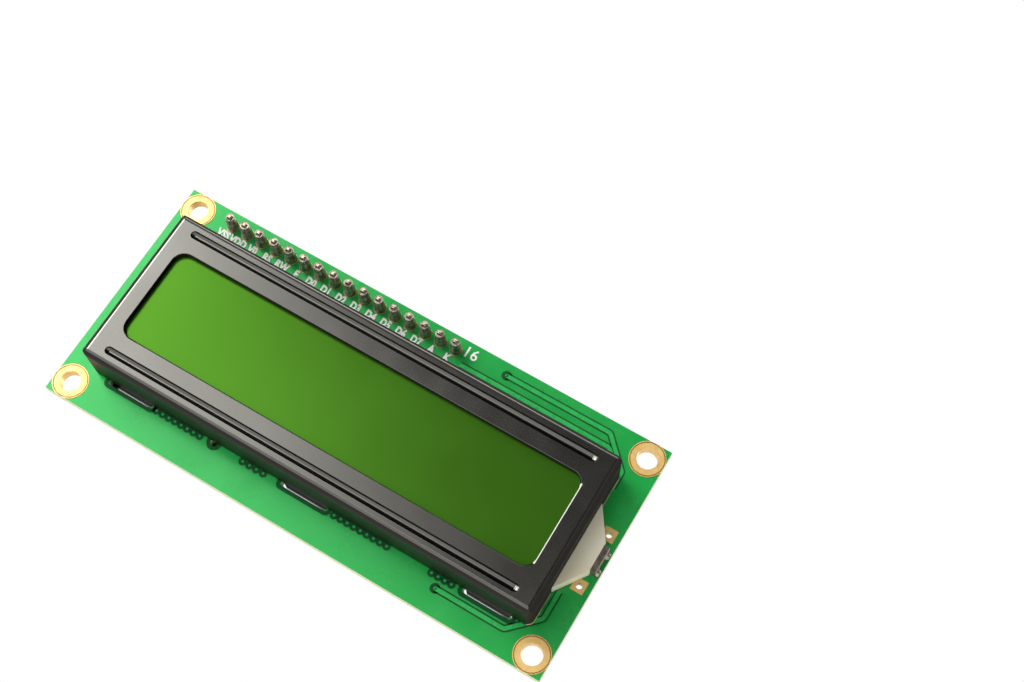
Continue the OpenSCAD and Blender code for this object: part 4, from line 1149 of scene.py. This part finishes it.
    def border(self) -> list[list[Point]]:
        """Draws the long tracks that follow the edges of the board.

        Returns:
            The points of each track.
        """
        lines = [
            [(37.9, 4.6), (37.9, 9.4), (33.7, 13.6), (9, 13.6)],
            [(37.0, 5.4), (37.0, 8.9), (33.3, 12.6), (9, 12.6)],
            [(-27.6, -7.5), (-33.6, -7.5), (-34.8, -8.7), (-34.8, -11.6)],
            [(35.2, -17.0), (-35.2, -17.0)],
        ]
        for i, drop in enumerate((0, 0.88, 1.76)):
            rise = [(32.62 + drop, -9.0), (32.62 + drop, -12.6 - drop),
                    (31.62 + drop, -13.6 - drop)]
            if i == 0:
                rise = [(24.9, -3), (24.9, -11.9), (23.2, -13.6)]
            lines.append(rise + [(-31.6 - drop * 0.4, -13.6 - drop), (-33.6 - drop * 0.9, -11.6),
                                 (-33.6 - drop * 0.9, -9.2)])
        return lines

    def rear_legend(self, printer: Printer) -> None:
        """Prints the outlines and names of the parts.

        Args:
            printer: lays work on the rear face.
        """
        boxes = [*corners(20.05, 12.6, 6.25, 2.75, 1.6), boxed(29.45, 1.95, 2.6, 5.6),
                 boxed(29.7, -2.8, 6.25, 2.8), boxed(29.7, -6.2, 6.25, 2.8),
                 [(26.85, -1.4), (26.85, -4.2)], [(26.85, -4.8), (26.85, -7.6)],
                 boxed(-22.3, -6.3, 4.6, 2.3), *corners(-22.4, -3.9, 4.6, 2.2, 1.1)]
        boxes += [line for z in (-6.55, -4.2, -1.85) for line in corners(-30.85, z, 5, 2.2, 1.2)]
        printer.ribbons("rear_outlines", boxes, self.stroke, self.legend, WHITE_INK)
        printer.stamps("rear_link_rings", Shape.RING, [(32, 5.55), (29.45, 5.65), (27.1, 5.55)],
                       WHITE_INK, Radius=1.3, Width=self.stroke, Height=2 * self.legend)
        names = {
            "R8": (25.2, 14.1, 1.5), "A": (38.6, 6.6, 1.6), "K": (38.4, -6.7, 1.6),
            "J1": (34.2, 5.6, 1.3), "J2": (30.3, 7.45, 1.3), "J3": (24.8, 5.5, 1.3),
            "U3": (23.75, -0.25, 1.5), "C1": (34.1, -2.6, 1.5), "C2": (34.35, -6.2, 1.5),
            "U2": (17.3, -5.9, 1.5), "U1": (-7.85, -7.15, 1.5), "C3": (-20.75, -8.8, 1.4),
            "R6": (-20.9, -1.85, 1.4), "R3": (-26.5, -1.85, 1.4), "R2": (-26.4, -4.1, 1.4),
            "R1": (-26.5, -6.6, 1.4), "1": (9.5, 16.6, 1.9)}
        words = [Word(name, *place) for name, place in names.items()]
        words += [Word("+", 25, z, 1.5) for z in (-2.95, -6.45)]
        printer.words("rear_legend", words, self.legend, WHITE_INK)


@dataclass
class Display:
    """The folded steel bezel and the liquid crystal cell behind its window.

    The steel was sheared and twisted after it was coated, which leaves its corners' feet bare.
    Its folds and the walls of its window and grooves are painted darker, as painted shade, and
    the window's right edge and the grooves' right ends carry painted highlights. Lengths are in
    millimetres from the bezel's middle, or off the board.
    """

    foot: float = 0.9
    corner_reach: float = 34.9
    face_skin: float = 0.05
    wall: float = 0.72
    groove: float = 10.1
    groove_walls: tuple[Span, Span] = ((-0.63, -0.09), (0.51, 0.61))
    groove_land: float = 2.0
    window: Point = (32.52, 6.2)
    window_skin: float = 0.12
    glint: float = 32.2
    glint_reach: float = 0.26
    matt: float = 1.05
    # painted shade: the folds' darker colour stands in for the shade where they turn from the light
    fold_shade: str = "#34322E"
    bare: str = "#E0C0A6"
    tab: str = "#26231F"
    # painted shade: near-black laid on the walls of the window and the grooves
    recess_shade: str = "#100F0E"
    # painted highlight: near-white laid on the window's right edge and the grooves' right ends
    highlight_colour: str = "#E4E2DA"

    def build(self) -> None:
        """Dresses the bezel and the cell."""
        # the folds and recesses carry painted shade, and the last patches are painted highlights
        patches = (*self.folds(), *self.shaded_recesses(), *self.painted_highlights())
        dress(replace(BLACK_STEEL, patches=patches), "bezel")
        dress(POLARISER, "front_polariser", "rear_polariser")
        dress(GLASS, "front_glass", "rear_glass")
        dress(SEAL_RESIN, "cell_seal")
        dress(CONTACT_RUBBER, "contact_strips")

    def face_box(self) -> tuple[Vector, Vector]:
        """Measures the bezel's face inside the folds.

        Returns:
            The bezel's middle, and half the size of its face, in metres.
        """
        low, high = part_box("bezel")
        rim = self.wall * MM
        return (low + high) / 2, (high - low) / 2 - Vector((rim, 0, rim))

    def folds(self) -> list[Patch]:
        """Finishes the folded sides, the twisted tabs and the bare feet.

        The folds are painted darker and duller than the face: painted shade, where they turn away
        from the light. The tabs behind the board are darker and duller too, and their part inside
        the slots is matt, which stands in for the shade in the slots. The corners' feet are bare.

        Returns:
            The patches, from the lowest to the topmost.
        """
        middle, half = self.face_box()
        board, back = (corner.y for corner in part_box("lcd_board"))
        reach, foot = self.corner_reach * MM, (board - self.foot * MM, board)
        dull: dict[str, Any] = {"metallic": 0.0, "ior": self.matt}
        # painted shade on the folds
        fold_shade_look: dict[str, Any] = {"colour": self.fold_shade, "roughness": 0.5}
        return [
            Patch(x=(-FAR, middle.x - half.x), **fold_shade_look, **dull),
            Patch(x=(middle.x + half.x, FAR), **fold_shade_look, **dull),
            Patch(z=(middle.z + half.z, FAR), **fold_shade_look, **dull),
            Patch(z=(-FAR, middle.z - half.z), **fold_shade_look),
            Patch(y=(board, back), **dull),
            Patch(y=(board, FAR), colour=self.tab, roughness=0.5),
            Patch(x=(-FAR, -reach), y=foot, colour=self.bare),
            Patch(x=(reach, FAR), y=foot, colour=self.bare),
        ]

    def shaded_recesses(self) -> list[Patch]:
        """Paints shade on the walls of the window and the grooves: a near-black painted shade in
        the recesses.

        Returns:
            The patches.
        """
        middle, half = self.face_box()
        depth = (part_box("bezel")[0].y + self.face_skin * MM,
                 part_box("lcd_board")[0].y - self.foot * MM)
        land = self.groove - self.groove_land
        spans = [(-land, land)] + [(side * self.groove + start, side * self.groove + end)
                                   for side in (-1, 1) for start, end in self.groove_walls]
        # painted shade in the recesses
        return [Patch(x=(middle.x - half.x, middle.x + half.x), y=depth, colour=self.recess_shade,
                      z=(middle.z + start * MM, middle.z + end * MM)) for start, end in spans]

    def painted_highlights(self) -> list[Patch]:
        """Paints highlights on the window's right edge and the grooves' right ends, where the light
        catches them.

        Returns:
            The patches.
        """
        middle = self.face_box()[0]
        edge, tall = middle.x + self.window[0] * MM, self.window[1] * MM
        skin, reach = self.window_skin * MM, self.glint_reach * MM
        end = middle.x + self.glint * MM
        # painted highlight along the window's right edge
        painted_highlights = [Patch(x=(edge - skin, edge + skin), z=(middle.z - tall, middle.z + tall),
                      colour=self.highlight_colour, metallic=0.0)]
        for side in (-1, 1):
            # painted highlights at the grooves' right ends
            height = middle.z + (side * self.groove + 0.1) * MM
            painted_highlights.append(Patch(x=(end - reach, end + reach), z=(height - reach, height + reach),
                              colour=self.highlight_colour, metallic=0.0, strength=0.75))
        return painted_highlights


@dataclass
class Backlight:
    """The light guide, its films and the LED at the end of the board."""

    def build(self) -> None:
        """Dresses the backlight."""
        dress(GUIDE_ACRYLIC, "light_guide")
        dress(WHITE_FILM, "diffuser_film", "reflector_sheet")
        dress(LED_CARRIER, "backlight_led")
        dress(TINNED_LEAD, "backlight_leads")
        dress(SOLDER, "backlight_solder")


@dataclass
class BuriedChips:
    """The two bare chips and the drops of epoxy over them."""

    def build(self) -> None:
        """Dresses the chips and their drops."""
        dress(SILICON, "controller_die", "driver_die")
        dress(BLACK_EPOXY, "controller_epoxy", "driver_epoxy")


@dataclass
class BoardHeader:
    """The row of pins that joins the two boards."""

    pitch: float = 2.54
    count: int = 16
    skirt: float = 2.15
    skirt_height: float = 2.2
    lean: float = 0.12
    swell: float = 0.15
    rhythm: Point = (2.4, 1.7)

    def build(self) -> None:
        """Dresses the strip, the pins and their joints.

        The solder's skirts lean and swell a little from joint to joint, each in a rhythm that
        is given in radians for a pin.
        """
        dress(BLACK_NYLON, "header_strip")
        dress(PIN_METAL, "header_pins")
        dress(SOLDER, "backpack_header_solder")
        dress(HEADER_SOLDER, "lcd_header_solder")
        middle = centre_of("header_pins") / MM
        first = middle.x - self.pitch * (self.count - 1) / 2
        skirts = []
        for i in range(self.count):
            aside = self.lean * math.sin(self.rhythm[0] * i)
            wide = self.skirt + self.swell * math.cos(self.rhythm[1] * i)
            skirts.append(Drop(first + i * self.pitch + aside, middle.z,
                               (wide, self.skirt, self.skirt_height)))
        front = Face(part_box("lcd_board")[0].y, Side.FRONT)
        Printer(front).drops("header_solder_skirts", skirts, HEADER_SOLDER)


@dataclass
class ChipParts:
    """Chip resistors, the capacitor and the LEDs: bodies, caps, marks and solder."""

    cap: float = 0.4
    cap_colour: str = "#D2CFC6"
    proud: float = 0.03
    mark_tall: float = 0.5
    mark_height: float = 0.012
    fillet: float = 0.95
    fillet_spread: float = 1.18
    fillet_climb: float = 1.5
    overlap: float = 0.05
    board_marks: dict[str, str] = field(default_factory=lambda: {
        "lcd_resistor_1": "103", "lcd_resistor_2": "103", "lcd_resistor_3": "103",
        "lcd_resistor_6": "750", "lcd_resistor_8": "101"})
    backpack_marks: dict[str, str] = field(default_factory=lambda: {
        "backpack_resistor_4": "103", "backpack_resistor_5": "103", "backpack_resistor_6": "103",
        "backpack_resistor_7": "472", "backpack_resistor_8": "472", "backpack_resistor_9": "472",
        "backpack_resistor_10": "102"})

    def build(self) -> None:
        """Dresses every chip part and lays its solder and its mark."""
        self.group("board", "lcd_board", self.board_marks, {})
        self.group("backpack", "backpack_board", self.backpack_marks,
                   {"filter_capacitor": DIELECTRIC, "power_led": LED_LENS})
        dress(CHIP_RESIN, "transistor_body")
        dress(TINNED_LEAD, "transistor_leads")

    def group(self, label: str, board: str, marks: dict[str, str],
              others: dict[str, Finish]) -> None:
        """Dresses the chip parts of one board.

        Args:
            label: what their solder and marks are named after.
            board: the node that they stand on.
            marks: each resistor's mark.
            others: the finish of each part that has no mark.
        """
        printer = Printer(rear_of(board))
        turns = {name: self.body(name, GLAZE) for name in marks}
        words = [Word(code, centre_of(name).x / MM, centre_of(name).z / MM, self.mark_tall,
                      turns[name], weight=0.02) for name, code in marks.items()]
        turns.update({name: self.body(name, finish) for name, finish in others.items()})
        drops = [drop for name, turn in turns.items() for drop in self.solder(name, turn)]
        printer.drops(f"{label}_chip_solder", drops, SOLDER)
        top = max(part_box(name)[1].y for name in marks)
        printer.words(f"{label}_resistor_marks", words, self.mark_height, WHITE_INK,
                      lift=(top - printer.face.level) / MM - self.proud)

    def body(self, name: str, finish: Finish) -> Turn:
        """Dresses one part, with bright caps at both ends.

        Args:
            name: the part's node.
            finish: its body's finish.

        Returns:
            Which way the part runs.
        """
        low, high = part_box(name)
        axis = 0 if high.x - low.x > high.z - low.z else 2
        spans = (-FAR, low[axis] + self.cap * MM), (high[axis] - self.cap * MM, FAR)
        caps = tuple(Patch(**{"xyz"[axis]: span}, colour=self.cap_colour, roughness=0.28,
                           metallic=1.0) for span in spans)
        dress(replace(finish, name=f"{finish.name}.{name}", edge=0.05, patches=caps), name)
        return Turn.ALONG if axis == 0 else Turn.UP

    def solder(self, name: str, turn: Turn) -> list[Drop]:
        """Shapes the fillets at the two ends of a part.

        Args:
            name: the part's node.
            turn: which way it runs.

        Returns:
            The two drops, in the board's millimetres.
        """
        low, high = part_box(name)
        middle, size = (low + high) / (2 * MM), (high - low) / MM
        length, width = (size.x, size.z) if turn is Turn.ALONG else (size.z, size.x)
        drops = []
        for side in (-1, 1):
            away = side * (length / 2 + self.overlap)
            x, z = (away, 0) if turn is Turn.ALONG else (0, away)
            shape = (self.fillet, width * self.fillet_spread, size.y * self.fillet_climb)
            drops.append(Drop(middle.x + x, middle.z + z, shape, self.overlap, turn))
        return drops


@dataclass
class Backpack:
    """The black serial-bus board: mask, plating and legend."""

    legend: float = 0.02
    stroke: float = 0.2
    address_stroke: float = 0.16
    small: float = 0.95
    tiny: float = 0.85
    rim: float = 0.12
    laminate: str = "#B9A878"
    address_x: tuple[float, ...] = (-21.8, -24.3, -26.7)
    bus_names: tuple[str, ...] = ("GND", "VCC", "SDA", "SCL")
    bus_pitch: float = 2.54

    def build(self) -> None:
        """Dresses the board and prints its outer face."""
        dress(sawn(BLACK_MASK, "backpack_board", self.laminate), "backpack_board")
        dress(GOLD_PLATE, "backpack_lands")
        dress(SOLDER, "backpack_pin_solder")
        dress(BLACK_NYLON, "bus_strip")
        dress(PIN_METAL, "bus_pins")
        printer = Printer(rear_of("backpack_board"))
        printer.ribbons("backpack_outlines", self.outlines(), self.stroke, self.legend, WHITE_INK,
                        corner=0.1)
        printer.ribbons("backpack_address_outlines", [
            line for x in self.address_x for line in corners(x, 1.5, 3.1, 1.7, 0.75, upright=True)
        ], self.address_stroke, self.legend, WHITE_INK)
        printer.words("backpack_legend", self.names(), self.legend, WHITE_INK)
        low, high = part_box("backpack_board")
        size = (high - low) / MM
        edge = boxed(*self.middle("backpack_board"), size.x - 2 * self.rim, size.z - 2 * self.rim)
        printer.ribbons("backpack_edge_line", [edge], 0.1, 0.01, MASK_EDGE)

    def outlines(self) -> list[list[Point]]:
        """Draws the outlines round the parts.

        Returns:
            The points of each line.
        """
        header_x, header_z = self.middle("header_pins")
        lines = [boxed(header_x, header_z + 0.02, 40.6, 2.5),
                 boxed(*self.middle("trimmer_housing"), 7.7, 7.7)]
        x, z = self.middle("jumper_strip")
        lines.append([(x - 1.5, z + 3.0), (x + 1.45, z + 3.0)])
        lines.append([(x - 1.5, z + 3.0), (x - 1.5, z - 3.0), (x + 1.45, z - 3.0)])
        for i in (7, 8, 9, 10):
            lines += corners(*self.middle(f"backpack_resistor_{i}"), 4.3, 2.1, 1.0, upright=True)
        for i in (4, 5, 6):
            lines += corners(*self.middle(f"backpack_resistor_{i}"), 4.25, 2.15, 1.0)
        lines.append(self.domed(*self.middle("filter_capacitor"), 2.2, 4.6, True))
        lines.append(self.domed(*self.middle("power_led"), 2.2, 4.7, False))
        lines += corners(*self.middle("transistor_body"), 3.7, 1.9, 1.15)
        for node, half, top, bottom in (("bus_strip", 1.45, 5.0, 5.7),
                                        ("expander_chip", 3.9, 4.9, 5.5)):
            x, z = self.middle(node)
            lines.append([(x + half, z - top), (x + half, z - bottom), (x - half, z - bottom),
                          (x - half, z - top)])
        return lines

    def middle(self, node: str) -> Point:
        """Returns the middle of a node on the board, in millimetres."""
        centre = centre_of(node) / MM
        return centre.x, centre.z

    def domed(self, x: float, z: float, wide: float, tall: float, both: bool) -> list[Point]:
        """Draws a closed outline with a round top.

        Args:
            x: the X of its middle.
            z: the Z of its middle.
            wide: its width.
            tall: its height.
            both: whether its foot is round too.

        Returns:
            The outline's points.
        """
        radius, flat = wide / 2, tall / 2 - 0.45
        turns = steps(0, math.pi, 7)
        top = [(x + radius * math.cos(t), z + flat + 0.6 * math.sin(t)) for t in turns]
        foot = [(x - radius * math.cos(t), z - flat - 0.6 * math.sin(t)) for t in turns]
        square = [(x - radius, z - tall / 2), (x + radius, z - tall / 2)]
        return top + (foot if both else square) + top[:1]

    def names(self) -> list[Word]:
        """Sets the words that are printed on the backpack.

        Returns:
            The words.
        """
        small, tiny = self.small, self.tiny
        names = {"LED": (5.6, 12.85, small), "R7": (-0.3, 12.95, small),
                 "C1": (-5.55, 12.9, small), "R10": (1.0, 2.15, tiny), "R8": (-1.75, 2.15, tiny),
                 "R9": (-4.3, 2.15, tiny), "+": (4.3, 1.75, 1.1), "POWER": (3.35, 0.45, small),
                 "R6": (-0.25, 0.1, small), "R5": (-7.5, 2.1, small), "R4": (-12.1, 2.1, small)}
        words = [Word(name, *place) for name, place in names.items()]
        words += [Word(f"A{i}", x, -0.65, tiny) for i, x in enumerate(self.address_x)]
        column = self.middle("trimmer_housing")[0] - 4.95
        middle = self.middle("bus_strip")[1]
        words += [Word(name, column, middle + (1.5 - i) * self.bus_pitch, tiny, narrow=0.85)
                  for i, name in enumerate(self.bus_names)]
        return words


@dataclass
class ExpanderChip:
    """The wide sixteen-lead chip, and the solder at its feet and at the transistor's."""

    leads: int = 8
    pitch: float = 1.27
    fillet: tuple[float, float, float] = (0.9, 0.62, 0.4)
    transistor_feet: tuple[Point, ...] = ((-0.95, -1.25), (0.95, -1.25), (0.0, 1.25))
    transistor_fillet: tuple[float, float, float] = (0.75, 0.6, 0.35)
    lift: float = 0.05

    def build(self) -> None:
        """Dresses the chip and lays a fillet over each foot."""
        dress(CHIP_RESIN, "expander_chip")
        dress(TINNED_LEAD, "expander_leads")
        low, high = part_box("expander_leads")
        middle = (low + high) / (2 * MM)
        reach = (high.x - low.x) / (2 * MM) + 0.1
        drops = [Drop(middle.x + side * reach, middle.z + (i - (self.leads - 1) / 2) * self.pitch,
                      self.fillet, self.lift) for side in (-1, 1) for i in range(self.leads)]
        printer = Printer(rear_of("backpack_board"))
        printer.drops("expander_solder", drops, SOLDER)
        part = centre_of("transistor_leads") / MM
        feet = [Drop(part.x + x, part.z + z, self.transistor_fillet, self.lift)
                for x, z in self.transistor_feet]
        printer.drops("transistor_solder", feet, SOLDER)


@dataclass
class Trimmer:
    """The blue trimmer: its housing, its rotor and the marks round the rotor."""

    tick_radius: float = 2.25
    tick_length: float = 0.75
    tick_width: float = 0.14
    tick_height: float = 0.02
    ticks: int = 16

    def build(self) -> None:
        """Dresses the trimmer and lays the marks."""
        dress(BLUE_PLASTIC, "trimmer_housing")
        dress(CREAM_PLASTIC, "trimmer_rotor")
        dress(SPRING_BRASS, "trimmer_wiper")
        dress(CERAMIC, "trimmer_element")
        dress(TINNED_LEAD, "trimmer_pins")
        middle = centre_of("trimmer_rotor") / MM
        Printer(rear_of("trimmer_housing")).stamps(
            "trimmer_ticks", Shape.SPOKES, [(middle.x, middle.z)], DARK_INK, Count=self.ticks,
            Radius=self.tick_radius, Length=self.tick_length, Width=self.tick_width,
            Height=self.tick_height)


@dataclass
class Jumper:
    """The backlight jumper: pins, strip and the cap that pulls off."""

    def build(self) -> None:
        """Dresses the jumper."""
        dress(BLACK_NYLON, "jumper_strip")
        dress(PIN_METAL, "jumper_pins")
        dress(CHARCOAL_PLASTIC, "jumper_cap")
        dress(SPRING_BRASS, "jumper_clip")


# ---- studio ----

@dataclass(frozen=True)
class Softbox:
    """A square soft lamp, aimed at the module."""

    name: str
    place: tuple[float, float, float]
    side: float
    power: float

    def build(self) -> None:
        """Hangs the lamp."""
        lamp = bpy.data.lights.new(self.name, "AREA")
        lamp.shape, lamp.size, lamp.energy = "SQUARE", self.side, self.power
        holder = bpy.data.objects.new(self.name, lamp)
        holder.location = self.place
        holder.rotation_euler = (-Vector(self.place)).to_track_quat("-Z", "Y").to_euler()
        bpy.context.scene.collection.objects.link(holder)


@dataclass(frozen=True)
class Fade:
    """A soft step in a measure, from `before` at the start to `after` at the end."""

    measure: str
    start: float
    end: float
    before: float
    after: float


@dataclass
class Studio:
    """Camera, floor, lamps, a white surround and a graded screen round the front.

    The screen has one wide soft source at the front left, whose edge runs diagonally. The room
    straight in front is dark, and the sides are evenly pale. Its fades read the direction in
    which a point of the screen lies: `front` towards the viewer, `right`, `up`, and `slant`
    across the source's edge.
    """

    floor_z: float = -0.16
    floor_side: float = 8.0
    floor_fade: Fade = Fade("far", 0.2, 0.7, 0.6, 1.0)
    eye: tuple[float, float, float] = (0.0577, -0.2034, -0.0494)
    turn: tuple[float, float, float] = (111.91, -30.81, 0.85)
    lens: float = 54.86
    sensor: float = 36.0
    screen_reach: float = 3.0
    ambient: float = 0.8
    dark: float = 0.03
    steepness: float = 1.1
    source: tuple[Fade, ...] = (
        Fade("slant", -0.17, 0.06, 2.9, 0.0), Fade("front", 0.3, 0.65, 0.0, 1.0),
        Fade("up", -0.25, 0.05, 0.0, 1.0), Fade("up", 0.5, 0.85, 1.0, 0.0))
    sides: tuple[Fade, ...] = (
        Fade("front", -0.1, 0.4, 0.8, 0.3), Fade("right", 0.3, 1.0, 1.0, 0.5))
    dusk: Fade = Fade("front", 0.6, 0.92, 0.0, 1.0)
    lamps: tuple[Softbox, ...] = (
        Softbox("key", (-0.68, -0.7, 0.25), 0.45, 4.4),
        Softbox("top_fill", (-0.25, -0.15, 0.9), 0.6, 4.0),
        Softbox("rear_fill", (0.35, 0.85, 0.55), 0.7, 3.0),
    )

    def build(self) -> None:
        """Builds the studio round the module."""
        self.camera()
        self.floor()
        self.surround()
        self.screen()
        for lamp in self.lamps:
            lamp.build()
        bpy.context.scene.view_settings.view_transform = "Standard"

    def camera(self) -> None:
        """Sets the camera in front of the module, low on its right and rolled."""
        data = bpy.data.cameras.new("camera")
        data.lens, data.sensor_width = self.lens, self.sensor
        data.clip_start, data.clip_end = 0.01, 20
        camera = bpy.data.objects.new("camera", data)
        camera.location = self.eye
        camera.rotation_euler = [math.radians(angle) for angle in self.turn]
        bpy.context.scene.collection.objects.link(camera)
        bpy.context.scene.camera = camera

    def floor(self) -> None:
        """Lays a plain pale floor, which is white to the camera and keeps a soft shadow."""
        square = boxed(0, 0, self.floor_side, self.floor_side)[:4]
        mesh = bpy.data.meshes.new("floor")
        mesh.from_pydata([(x, y, self.floor_z) for x, y in square], [], [(0, 1, 2, 3)])
        material = bpy.data.materials.new("white_paper_sweep")
        tree = cleared(material)
        paper = add_node(tree, "ShaderNodeBsdfDiffuse", inputs={"Color": linear("#F4F4F2")})
        glow = add_node(tree, "ShaderNodeEmission", inputs={"Color": WHITE, "Strength": 1.0})
        place = add_node(tree, "ShaderNodeTexCoord").outputs["Object"]
        far = add_node(tree, "ShaderNodeVectorMath", {"operation": "LENGTH"}, {0: place})
        share = self.product(tree, (self.floor_fade,), {"far": far.outputs["Value"]},
                             self.seen(tree))
        surface = add_node(tree, "ShaderNodeMixShader",
                           inputs={0: share, 1: paper.outputs[0], 2: glow.outputs[0]})
        add_node(tree, "ShaderNodeOutputMaterial", inputs={"Surface": surface.outputs[0]})
        mesh.materials.append(material)
        placed("floor", mesh)

    def surround(self) -> None:
        """Sets a pale surround, which is white where it is seen."""
        world = bpy.data.worlds.new("surround")
        bpy.context.scene.world = world
        tree = cleared(world)
        strength = add_node(tree, "ShaderNodeMix", {"data_type": "FLOAT"},
                            {0: self.seen(tree), 2: self.ambient, 3: 1.0})
        light = add_node(tree, "ShaderNodeBackground",
                         inputs={"Color": WHITE, "Strength": strength.outputs[0]})
        add_node(tree, "ShaderNodeOutputWorld", inputs={"Surface": light.outputs[0]})

    def screen(self) -> None:
        """Hangs the graded screen, which the camera looks through."""
        mesh = bpy.data.meshes.new("graded_screen")
        form = bmesh.new()
        bmesh.ops.create_uvsphere(form, u_segments=48, v_segments=24, radius=self.screen_reach)
        bmesh.ops.delete(form, geom=[v for v in form.verts if v.co.y > 0.001], context="VERTS")
        form.to_mesh(mesh)
        form.free()
        material = bpy.data.materials.new("graded_diffusion_screen")
        tree = cleared(material)
        measures = self.measures(tree)
        source = self.product(tree, self.source, measures)
        sides = self.product(tree, self.sides, measures)
        dusk = self.product(tree, (self.dusk,), measures)
        room = add_node(tree, "ShaderNodeMix", {"data_type": "FLOAT"},
                        {0: dusk, 2: sides, 3: self.dark})
        total = add_node(tree, "ShaderNodeMath", {"operation": "ADD"},
                         {0: source, 1: room.outputs[0]})
        glow = add_node(tree, "ShaderNodeEmission",
                        inputs={"Color": WHITE, "Strength": total.outputs[0]})
        add_node(tree, "ShaderNodeOutputMaterial", inputs={"Surface": glow.outputs[0]})
        mesh.materials.append(material)
        screen = placed("graded_screen", mesh)
        screen.visible_camera = screen.visible_transmission = screen.visible_shadow = False

    def seen(self, tree: bpy.types.NodeTree) -> bpy.types.NodeSocket:
        """Finds the rays that show the background: straight, mirrored or through something.

        Args:
            tree: the tree of the floor or the world.

        Returns:
            One for such a ray, and nought for another.
        """
        rays = add_node(tree, "ShaderNodeLightPath").outputs
        share: Any = 0.0
        for kind in ("Is Camera Ray", "Is Glossy Ray", "Is Transmission Ray"):
            share = add_node(tree, "ShaderNodeMath", {"operation": "MAXIMUM"},
                             {0: share, 1: rays[kind]}).outputs[0]
        return share

    def measures(self, tree: bpy.types.NodeTree) -> dict[str, bpy.types.NodeSocket]:
        """Works out what the screen's fades read.

        Args:
            tree: the screen's tree.

        Returns:
            Each measure by its name.
        """
        place = add_node(tree, "ShaderNodeTexCoord").outputs["Object"]
        way = add_node(tree, "ShaderNodeVectorMath", {"operation": "NORMALIZE"}, {0: place})
        axes = {"front": (0.0, -1.0, 0.0), "right": (1.0, 0.0, 0.0), "up": (0.0, 0.0, 1.0),
                "slope": (1.0, 0.0, self.steepness)}
        made = {name: add_node(tree, "ShaderNodeVectorMath", {"operation": "DOT_PRODUCT"},
                               {0: way.outputs[0], 1: axis}).outputs["Value"]
                for name, axis in axes.items()}
        ahead = add_node(tree, "ShaderNodeMath", {"operation": "MAXIMUM"},
                         {0: made["front"], 1: 0.2})
        made["slant"] = add_node(tree, "ShaderNodeMath", {"operation": "DIVIDE"},
                                 {0: made["slope"], 1: ahead.outputs[0]}).outputs[0]
        return made

    def product(self, tree: bpy.types.NodeTree, fades: Sequence[Fade],
                measures: dict[str, bpy.types.NodeSocket],
                start: Any = 1.0) -> bpy.types.NodeSocket:
        """Multiplies fades.

        Args:
            tree: the tree.
            fades: the fades.
            measures: what they read, by name.
            start: what they are multiplied with.

        Returns:
            Their product.
        """
        for fade in fades:
            step = add_node(tree, "ShaderNodeMapRange", {"interpolation_type": "SMOOTHSTEP"}, {
                "Value": measures[fade.measure], "From Min": fade.start, "From Max": fade.end,
                "To Min": fade.before, "To Max": fade.after})
            start = add_node(tree, "ShaderNodeMath", {"operation": "MULTIPLY"},
                             {0: start, 1: step.outputs[0]}).outputs[0]
        return start


def main() -> None:
    """Builds the studio and every sub-assembly, in order."""
    logging.basicConfig(level=logging.INFO, format="%(message)s")
    for part in (Studio(), LcdBoard(), Display(), Backlight(), BuriedChips(), BoardHeader(),
                 Backpack(), ExpanderChip(), Trimmer(), Jumper(), ChipParts()):
        log.info("building %s", type(part).__name__)
        part.build()


if __name__ == "__main__":
    main()
